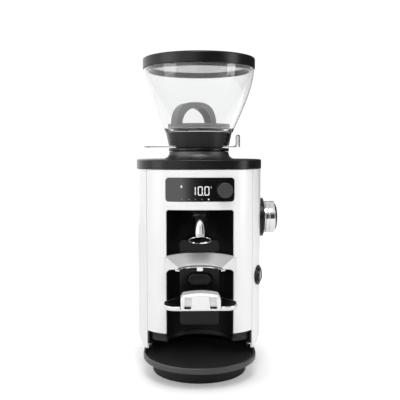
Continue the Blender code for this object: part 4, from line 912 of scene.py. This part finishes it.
# ---- lower rest -----------------------------------------------------------------------------------
def make_rest():
    """A bright crescent rim with a dark mat in it."""
    low, high = LOW["rest_rim"], HIGH["rest_rim"]
    half, front, back = high[0], low[1], high[1]
    floor = low[2] + 2.0
    plan = rounded([(-24.0, back, 3.0), (-half, -87.5, 1.5), (-half, -92.0, 4.0), (-half, front, 17.0),
                    (half, front, 17.0), (half, -92.0, 4.0), (half, -87.5, 1.5), (24.0, back, 3.0)], 10)
    plan = evenly(plan, 0.8)
    edge = rounded([(-5.0, low[2], 0.0), (-1.2, low[2], 0.8), (0.0, high[2] - 3.0, 0.8), (0.0, high[2], 0.7),
                    (-1.9, high[2], 0.6), (-1.9, floor, 0.4), (-6.0, floor, 0.0)], 4, loop=False)

    def opened(outline):
        """The rim drops to its floor across the front, where the tongue stands."""
        at_front = outline[:, 1] < -96.0
        return (floor - high[2]) * at_front * smooth_step(-np.abs(outline[:, 0]), -25.4, -24.6)

    share = smooth_step(edge[:, 1], floor, high[2] - 0.7)
    piece("rest_tray", [upright(plan, np.column_stack([edge, share]), rise=opened)], bright_steel, "rest",
          ["rest_rim"])
    mat_low, mat_top = floor + 0.1, HIGH["rest_pad"][2] + 0.4
    rim = rounded([(-6.0, mat_low, 0.0), (-2.1, mat_low, 0.3), (-2.1, mat_top, 0.5),
                   (-4.0, mat_top - 0.5, 0.4), (-6.0, mat_top - 0.5, 0.0)], 3, loop=False)
    piece("rest_mat", [upright(plan, rim)], black_matte, "rest", ["rest_pad"])


def make_tongue():
    """Block with a crowned top; its front is a relief with two pockets and a rib between them."""
    low, high = LOW["rest_tongue"], HIGH["rest_tongue"]
    half, front, back, floor = high[0], low[1], high[1], low[2]
    x = np.linspace(-half, half, 121)
    crown = high[2] - 3.0 * (x / half) ** 2 - 3.6 * smooth_step(np.abs(x), half - 3.4, half + 0.6)
    share = np.linspace(0.0, 1.0, 41)[:, None]
    z = floor + share * (crown - floor)
    lean = 0.10 * (z - floor)
    wide = smooth_step(np.abs(np.abs(x)[None, :] - 16.0 + lean), 4.4, 3.7)
    in_pocket = wide * smooth_step(-z, -117.2, -116.4)
    set_back = 1.6 * smooth_step(share, 0.90, 1.0) + 0.3 * smooth_step(share, 0.84, 0.85)
    depth = front + 5.0 * in_pocket + set_back
    face = np.dstack([np.broadcast_to(x, z.shape), depth, z])
    rear_z = np.vstack([crown - 0.1, np.full_like(crown, floor)])
    rear = np.dstack([np.broadcast_to(x, rear_z.shape), np.full_like(rear_z, back), rear_z])
    points = np.vstack([face, rear]).transpose(1, 0, 2)
    piece("rest_tongue_block", [sheet(points, ends=True)], brushed_bar, "rest", ["rest_tongue"],
          crease=45.0)


def make_rest_carrier():
    """Block behind the rest that slides on the holder plate."""
    low, high = LOW["rest_slide"], HIGH["rest_slide"]
    profile = [(-1.2, low[1]), (-0.4, low[1] + 0.35), (0.0, low[1] + 1.1), (0.0, high[1])]
    piece("rest_carrier", [facing(box_outline(high[0], low[2], high[2], 3.0), profile)], black_plastic,
          "rest", ["rest_slide"])


def make_trigger():
    """A lying button with round ends and a slightly dished face."""
    low, high = LOW["trigger_button"], HIGH["trigger_button"]
    front, back = low[1], high[1]
    radius = 0.5 * (high[2] - low[2])
    straight, z = high[0] - radius, 0.5 * (high[2] + low[2])
    turn = np.linspace(-0.5 * math.pi, 0.5 * math.pi, 25)
    outline = np.vstack([round_points(radius, turn, straight, z), round_points(-radius, turn, -straight, z)])
    profile = [(-7.0, front + 0.5), (-5.0, front + 0.35), (-2.6, front + 0.08), (-1.4, front + 0.12),
               (-0.6, front + 0.45), (-0.15, front + 1.1), (0.0, front + 2.0), (0.0, back)]
    piece("grind_button", [facing(outline, profile)], switch_grey, "trigger", ["trigger_button"])


# ---- dial and power switch ------------------------------------------------------------------------
DIAL_AT = (0.0, 0.0, 203.4)
SWITCH_TURN = math.radians(69.0)
SWITCH_NORMAL = (math.sin(SWITCH_TURN), -math.cos(SWITCH_TURN), 0.0)
SWITCH_AT = (77.5, -41.4, 130.0)


def seated(surface, x=0.0):
    """A change of shape for turned(): rows below height 1 lie on a face of the housing, 0.1 mm outside it.

    Across the turning axis the face is met at x + r cos t.
    """
    def change(r, h, turn):
        r, h, turn = np.broadcast_arrays(r, h, turn)
        return r, np.where(h < 1.0, surface(x + r * np.cos(turn), 0.1), h)

    return change


def make_dial():
    """Collar on the housing's side, bright grip with a ring of fine lines, and a domed cap."""
    radius, face = 26.5, HIGH["dial_collar"][0]
    collar = rounded([(6.0, face - 12.0, 0.0), (radius, face - 12.0, 0.0), (radius, face, 1.2),
                      (radius - 2.6, face, 0.4), (radius - 3.2, face - 0.6, 0.2), (6.0, face - 0.6, 0.0)], 5)
    collar[:, 1] = np.where(collar[:, 1] < face - 9.0, 0.0, collar[:, 1])
    piece("dial_seat", [turned(collar, DIAL_AT, RIGHT, 120, True, shape=seated(side_x))], black_plastic,
          "housing", ["dial_collar"])
    pointer = box_outline(0.5, DIAL_AT[2] + 22.6, DIAL_AT[2] + 25.6, 0.2, 3)
    points = facing(pointer, [(0.0, 0.0), (0.0, 0.18)])[0]
    points = np.dstack([face - 0.05 + points[..., 1], -points[..., 0], points[..., 2]])
    piece("dial_pointer", [sheet(points, ends=True)], pointer_white, "housing", [])
    low, high = LOW["dial_knob"][0], HIGH["dial_knob"][0]
    radius = HIGH["dial_knob"][2] - DIAL_AT[2]
    rim = 19.6
    knob = rounded([(5.0, low, 0.0), (radius - 1.0, low, 0.5), (radius - 1.0, low + 1.6, 0.2),
                    (radius - 0.1, low + 2.0, 0.4), (radius - 0.1, low + 5.4, 0.4),
                    (radius - 0.9, low + 5.8, 0.2), (radius - 0.9, low + 6.6, 0.2), (radius, low + 7.0, 0.5),
                    (radius, high - 1.0, 0.9), (rim + 0.7, high, 0.5), (rim, high - 0.4, 0.3),
                    (rim, high - 1.5, 0.1), (5.0, high - 1.5, 0.0)], 4)

    def ticked(r, h, turn):
        """60 fine engraved lines on the ring next to the collar."""
        r, h, turn = np.broadcast_arrays(r, h, turn)
        ring = smooth_step(h, low + 2.2, low + 2.6) * smooth_step(-h, -low - 5.2, -low - 4.8)
        line = smooth_step(np.cos(60.0 * turn), 0.72, 0.95)
        return r - 0.2 * ring * line * (r > radius - 0.6), h

    piece("dial_grip", [turned(knob, DIAL_AT, RIGHT, 480, True, shape=ticked)], chrome, "dial",
          ["dial_knob"])
    low, high = LOW["dial_cap"][0], HIGH["dial_cap"][0]
    dome = bezier((0.0, high), (8.0, high), (17.8, high - 1.0), (19.2, high - 3.6), 14)
    cap = np.vstack([dome, [(19.2, low + 0.2), (19.0, low), (0.0, low)]])
    piece("dial_cap_dome", [turned(cap, DIAL_AT, RIGHT, 120)], black_plastic, "dial", ["dial_cap"])


def make_power_switch():
    """A round bezel with a push button, square to the housing's curved side."""
    bezel = rounded([(9.5, -4.0, 0.0), (11.0, -4.0, 0.0), (13.0, -1.5, 0.0), (13.0, 1.9, 0.7),
                     (12.0, 2.6, 0.6), (10.2, 2.5, 0.5), (9.5, 1.8, 0.4)], 5)
    piece("switch_ring", [turned(bezel, SWITCH_AT, SWITCH_NORMAL, 96, True)], black_plastic, "housing",
          ["switch_bezel"])
    button = np.vstack([bezier((0.0, 4.5), (4.0, 4.6), (7.6, 5.3), (8.2, 4.6), 12),
                        [(8.7, 4.1), (9.0, 3.2), (9.0, -4.8), (8.8, -5.0), (0.0, -5.0)]])
    piece("power_push", [turned(button, SWITCH_AT, SWITCH_NORMAL, 80)], black_gloss, "power",
          ["power_button"])


def make_cord_inlet():
    x, z, reach = 40.0, 72.0, float(back_y(40.0))
    profile = rounded([(3.8, 0.0, 0.0), (10.2, 0.0, 0.0), (9.6, reach + 1.6, 0.8), (8.6, reach + 3.0, 0.8),
                       (3.8, reach + 3.0, 0.6)], 4)
    profile[:, 1] = np.where(profile[:, 1] < 1.0, 0.0, profile[:, 1])
    piece("cord_grommet", [turned(profile, (x, 0.0, z), BACK, 64, True, shape=seated(back_y, x))], rubber,
          "housing", ["cord_inlet"])


# ---- neck, collar, gate, hopper and lid -----------------------------------------------------------
def make_neck():
    """Flared neck with a cone inside that leads the beans to the burrs, and the bright ring on top."""
    foot, top = 283.9, HIGH["hopper_neck"][2]
    flare = bezier((40.7, top - 0.8), (41.2, top - 6.5), (43.7, foot + 1.8), (48.1, foot + 0.4), 16)
    mouth = [(37.0, top - 0.3), (37.3, top), (40.1, top), (40.55, top - 0.25)]
    inside = [(48.5, foot), (40.9, foot), (40.9, foot - 12.0), (18.0, foot - 22.0), (14.5, foot - 22.0),
              (14.5, foot - 19.0), (37.0, top - 12.0)]
    profile = np.vstack([mouth, flare, inside])
    piece("neck_flare", [turned(profile, columns=144, loop_rows=True)], tray_black, "housing",
          ["hopper_neck"])
    low, high = LOW["neck_ring"][2], HIGH["neck_ring"][2]
    ring = rounded([(37.0, low, 0.3), (40.4, low, 0.4), (41.5, low + 1.2, 0.4), (41.5, high - 0.8, 0.5),
                    (40.6, high, 0.3), (37.0, high, 0.3)], 4)
    piece("neck_band", [turned(ring, columns=128, loop_rows=True)], black_plastic, "housing", ["neck_ring"])


def make_collar():
    """Tapered collar, notched below where the gate passes; a spigot sits in the neck under the gate."""
    top, low, foot = HIGH["hopper_collar"][2], 299.0, 284.0
    profile = rounded([(42.0, top, 0.2), (45.2, top, 0.7), (41.2, low, 0.6), (36.5, low, 0.2),
                       (36.5, low + 2.7, 0.2), (22.0, low + 2.7, 0.5), (22.0, 303.8, 0.4),
                       (40.0, 318.0, 0.5)], 4)

    def notched(r, h, turn):
        """The lower edge rises to the gate's seat over the gate's width."""
        r, h, turn = np.broadcast_arrays(r, h, turn)
        in_slot = smooth_step(np.abs(r * np.sin(turn)), 26.8, 25.6)
        return r, np.where(h < low + 2.0, h + (low + 2.75 - h) * in_slot, h)

    piece("collar_shell", [turned(profile, columns=240, loop_rows=True, shape=notched)], black_plastic,
          "hopper_unit", ["hopper_collar"])
    spigot = rounded([(33.0, foot, 0.3), (36.5, foot, 0.5), (36.5, low, 0.3), (22.0, low, 0.3),
                      (22.0, 297.0, 0.3), (33.0, foot + 3.0, 0.3)], 3)
    piece("collar_spigot", [turned(spigot, columns=96, loop_rows=True)], black_plastic, "hopper_unit",
          ["hopper_collar"])


def make_gate():
    """Sliding sheet with a hole, folded into a narrow loop at its right end, with a soft tip at its left."""
    low, thick = 300.1, 1.0
    left, right, half = LOW["hopper_gate"][0], 50.5, HIGH["hopper_gate"][1]
    corners = np.arctan2([half, -half] * 2, [right, right, left, left])
    turn = np.unique(np.concatenate([np.linspace(-math.pi, math.pi, 144, endpoint=False), corners]))
    outline = box_reach(turn, right, -left, half, half, 3.0)
    hole = np.full_like(turn, 20.0)
    reach = np.array([hole, outline - 0.25, outline, outline, outline - 0.25, hole])
    rise = np.array([thick, thick, thick - 0.25, 0.25, 0.0, 0.0])
    piece("gate_sheet", [sheet(around(reach, turn, low + rise), loop_rows=True)], sheet_steel, "gate",
          ["hopper_gate"])
    top, outer = HIGH["hopper_gate"][2] - 0.5, HIGH["hopper_gate"][0] - 1.4
    line = rounded([(right - 6.0, low + 0.5, 0.0), (right + 1.0, low + 0.5, 4.0), (right + 1.0, top, 2.1),
                    (outer, top, 2.1), (outer, low + 0.2, 0.0)], 10, loop=False)
    path = np.column_stack([line[:, 0], np.zeros(len(line)), line[:, 1]])
    way = np.gradient(path, axis=0)
    way /= np.linalg.norm(way, axis=1)[:, None]
    section = rounded([(0.5, 14.0, 0.3), (-0.5, 14.0, 0.3), (-0.5, -14.0, 0.3), (0.5, -14.0, 0.3)], 3)
    piece("gate_handle", [along(path, np.cross(way, BACK), BACK, section)], sheet_steel, "gate",
          ["hopper_gate"])
    tip = rounded([(left, 299.6, 0.6), (left + 6.0, 299.6, 0.6), (left + 6.0, 301.6, 0.6),
                   (left, 301.6, 0.6)], 3)
    stations = ((-half + 2.0, 0.4), (-half + 3.0, 0.0), (half - 3.0, 0.0), (half - 2.0, 0.4))
    points = np.stack([np.column_stack([tip[:, 0] + inset, np.full(len(tip), y), tip[:, 1]])
                       for y, inset in stations])
    piece("gate_tip", [sheet(points, ends=True)], cream, "gate", ["hopper_gate"])


def hopper_line(count):
    """Outer line of the hopper from its rim down to its foot."""
    top, low = HIGH["hopper"][2], LOW["hopper"][2]
    rim = HIGH["hopper"][0]
    return bezier((rim, top), (72.0, top - 33.2), (57.0, low + 24.7), (46.3, low), count)


def make_hopper():
    """Clear bell, open above, with a rounded rim and a foot that narrows into the collar."""
    wall = 2.0
    outer = hopper_line(40)
    inner = (outer - (wall, 0.0))[::-1]
    inner[0] = (42.7, outer[-1, 1])
    inner[1] = (43.4, outer[-1, 1] + 2.2)
    rim = rounded([tuple(inner[-1]) + (0.0,), (outer[0, 0] - wall, outer[0, 1], 0.6),
                   (outer[0, 0], outer[0, 1], 0.6), tuple(outer[1]) + (0.0,)], 4, loop=False)
    profile = np.vstack([outer[1:], inner[:-1], rim])
    piece("hopper_bowl", [turned(without_repeats(profile), columns=176, loop_rows=True)], clear_plastic,
          "hopper_unit", ["hopper"], crease=60.0)


def make_guard():
    """Ring with an arch over the throat: squarer outside, half round inside."""
    high = HIGH["bean_guard"][2]
    outer, low, top = 42.0, 325.2, 331.4
    ring = rounded([(outer - 3.2, low, 0.4), (outer, low, 0.4), (outer + 0.6, low + 2.6, 0.4),
                    (outer, low + 3.2, 0.3), (outer, top, 0.6), (outer - 3.2, top, 0.6)], 4)

    def clipped(r, h, turn):
        """Eight small clips stand out on the upper band."""
        r, h, turn = np.broadcast_arrays(r, h, turn)
        clip = smooth_step(np.cos(8.0 * turn), 0.80, 0.9) * smooth_step(h, low + 2.8, low + 3.4)
        return r + 0.5 * clip * (r > outer - 1.0), h

    piece("guard_ring", [turned(ring, columns=192, loop_rows=True, shape=clipped)], guard_grey, "hopper_unit",
          ["bean_guard"])
    lean = math.radians(27.0)
    ahead = np.array((math.cos(lean), math.sin(lean), 0.0))
    side = np.array((-math.sin(lean), math.cos(lean), 0.0))
    middle = np.array((-7.0, 0.0, 0.0))
    foot, spring, deep = high - 34.0, high - 30.0, 10.0
    outer, inner = 30.0, 22.0
    turn = np.linspace(0.0, math.pi, 49)
    c, s = np.cos(turn), np.sin(turn)
    outside = np.column_stack([outer * np.sign(c) * np.abs(c) ** 0.72, spring + outer * s ** 0.86])
    inside = np.column_stack([inner * c, spring + (inner + 1.0) * s])
    outside = np.vstack([[(outer, foot)], outside, [(-outer, foot)]])
    inside = np.vstack([[(inner, foot)], inside, [(-inner, foot)]])
    rows = [middle + line[:, :1] * ahead + line[:, 1:] * np.array(UP) + across * side
            for line, across in ((outside, -deep), (outside, deep), (inside, deep), (inside, -deep))]
    piece("guard_arch", [sheet(np.stack(rows, axis=1), ends=True)], guard_grey, "hopper_unit",
          ["bean_guard"], edge=0.8)


def make_lid():
    """Dished cap with a deep skirt, and the glossy plug that hangs inside the hopper's rim."""
    low, top = LOW["hopper_lid"][2], HIGH["hopper_lid"][2]
    radius = HIGH["hopper_lid"][0]
    profile = rounded([(0.0, top - 0.6, 0.0), (radius - 9.0, top - 0.6, 4.0), (radius - 4.5, top, 3.0),
                       (radius, top, 2.4), (radius, low, 0.6), (radius - 2.5, low, 0.4),
                       (radius - 2.5, top - 2.6, 0.5), (0.0, top - 2.6, 0.0)], 6, loop=False)
    piece("lid_cap", [turned(profile, columns=176)], black_plastic, "lid", ["hopper_lid"])
    low, top = LOW["lid_plug"][2], HIGH["lid_plug"][2]
    edge, skirt = HIGH["lid_plug"][0], 70.5
    plug = rounded([(0.0, top, 0.0), (edge, top, 0.3), (edge, top - 2.0, 0.3), (skirt, top - 2.0, 0.2),
                    (skirt, low, 0.5), (skirt - 2.0, low, 0.5), (skirt - 2.0, top - 2.0, 0.6),
                    (0.0, top - 2.0, 0.0)], 4, loop=False)
    piece("lid_inner", [turned(plug, columns=160)], black_gloss, "lid", ["lid_plug"])


for make in (make_foot, make_base_plate, make_tray, make_side_shell, make_corner_shade_sheets, make_front_panel,
             make_top_cover, make_recess, make_holder_plate, make_display, make_display_marks,
             make_control_knob, make_spout, make_fork, make_rest, make_tongue, make_rest_carrier,
             make_trigger, make_dial, make_power_switch, make_cord_inlet, make_neck, make_collar, make_gate,
             make_hopper, make_guard, make_lid):
    make()

# ---- inner works keep their CAD shapes and get their finishes ---------------------------------------
INNER = {
    dark_steel: ("base_screw_1", "base_screw_2", "knob_shaft", "shaft_nut", "motor_can", "armature",
                 "chassis"),
    bright_steel: ("motor_shaft", "upper_bearing", "lower_bearing"),
    burr_steel: ("lower_burr", "upper_burr"),
    turned_metal: ("burr_housing", "lower_burr_carrier", "upper_burr_carrier", "motor_end_bell"),
    brass: ("dial_pinion_shaft", "dial_bush", "adjusting_ring"),
    copper: ("stator",),
    black_matte: ("grounds_chute", "cooling_fan"),
    grey_plastic: ("trigger_switch", "power_switch"),
    board_green: ("display_board", "control_board"),
}
for finish, names in INNER.items():
    for name in names:
        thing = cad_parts[name]
        if not thing.material_slots:
            thing.data.materials.append(finish)
        for place in thing.material_slots:
            place.material = finish


# ---- floor, light and camera ----------------------------------------------------------------------
def seen_directly(tree):
    """1 where the camera looks straight or through clear plastic, else 0."""
    path = node(tree, "ShaderNodeLightPath").outputs
    return maths(tree, "MAXIMUM", path["Is Camera Ray"], path["Is Transmission Ray"])


def make_floor():
    """A wide plain floor, a little below zero, that glows towards its rim so that it melts into the wall."""
    size = 1.6
    mesh = bpy.data.meshes.new("floor")
    corners = [(-size, -size, 0.0), (size, -size, 0.0), (size, size, 0.0), (-size, size, 0.0)]
    mesh.from_pydata(corners, [], [(0, 1, 2, 3)])
    floor = bpy.data.objects.new("floor", mesh)
    floor.location.z = -0.0002
    bpy.context.scene.collection.objects.link(floor)
    finish = moulded("floor_white", grey(0.90), grey(0.92), 60.0, 0.02, 0.7, 0.1)
    tree = finish.node_tree
    from_middle = node(tree, "ShaderNodeVectorMath", {0: object_place(tree)}, operation="LENGTH")
    glow = carried(tree, from_middle.outputs["Value"], 0.1, 0.5, 0.22, 0.8)
    shader = tree.nodes["Principled BSDF"]
    shader.inputs["Emission Color"].default_value = (1.0, 1.0, 1.0, 1.0)
    link(tree, shader, {"Emission Strength": maths(tree, "MULTIPLY", glow, seen_directly(tree))})
    mesh.materials.append(finish)


def make_world():
    """White beyond the floor and through clear plastic; dimmer where it lights, and in mirrors bright only
    to the left and high above."""
    world = bpy.data.worlds.new("studio")
    world.use_nodes = True
    tree = world.node_tree
    way = xyz(tree, node(tree, "ShaderNodeNewGeometry").outputs["Incoming"])
    left = carried(tree, way["X"], -0.06, 0.22, 0.05, 1.35, interpolation_type="SMOOTHSTEP")
    above = carried(tree, way["Z"], -0.3, -0.65, 0.0, 0.7, interpolation_type="SMOOTHSTEP")
    is_mirrored = node(tree, "ShaderNodeLightPath").outputs["Is Glossy Ray"]
    indirect = carried(tree, is_mirrored, 0.0, 1.0, 0.54, maths(tree, "MAXIMUM", left, above))
    background = tree.nodes["Background"]
    background.inputs["Color"].default_value = (1.0, 1.0, 1.0, 1.0)
    link(tree, background, {"Strength": carried(tree, seen_directly(tree), 0.0, 1.0, indirect, 1.05)})
    bpy.context.scene.world = world


def softbox(name, at, aim, width, height, power):
    """A flat lamp at one point, turned to another."""
    lamp = bpy.data.lights.new(name, "AREA")
    lamp.shape = "RECTANGLE"
    lamp.size, lamp.size_y = width, height
    lamp.energy = power
    thing = bpy.data.objects.new(name, lamp)
    thing.location = at
    thing.rotation_euler = (Vector(aim) - Vector(at)).to_track_quat("-Z", "Y").to_euler()
    bpy.context.scene.collection.objects.link(thing)


make_floor()
make_world()
softbox("key_left", (-1.45, -0.75, 0.6), (0.0, 0.0, 0.22), 0.9, 1.3, 6.0)
softbox("top", (0.0, -1.0, 1.6), (0.0, 0.0, 0.2), 0.6, 0.8, 12.0)
softbox("right_edge", (1.5, -0.6, 0.6), (0.0, 0.0, 0.22), 0.6, 1.2, 7.5)
softbox("rear", (-0.5, 1.5, 1.4), (0.0, 0.0, 0.22), 1.2, 1.1, 8.0)

camera = bpy.data.cameras.new("camera")
camera.lens = 57.6
camera.sensor_width = 36.0
viewer = bpy.data.objects.new("camera", camera)
viewer.location = (-0.0165, -0.884, 0.292)
viewer.rotation_euler = (math.radians(90.0 - 4.2), 0.0, math.radians(-1.17))
bpy.context.scene.collection.objects.link(viewer)
bpy.context.scene.camera = viewer
bpy.context.scene.view_settings.view_transform = "Standard"
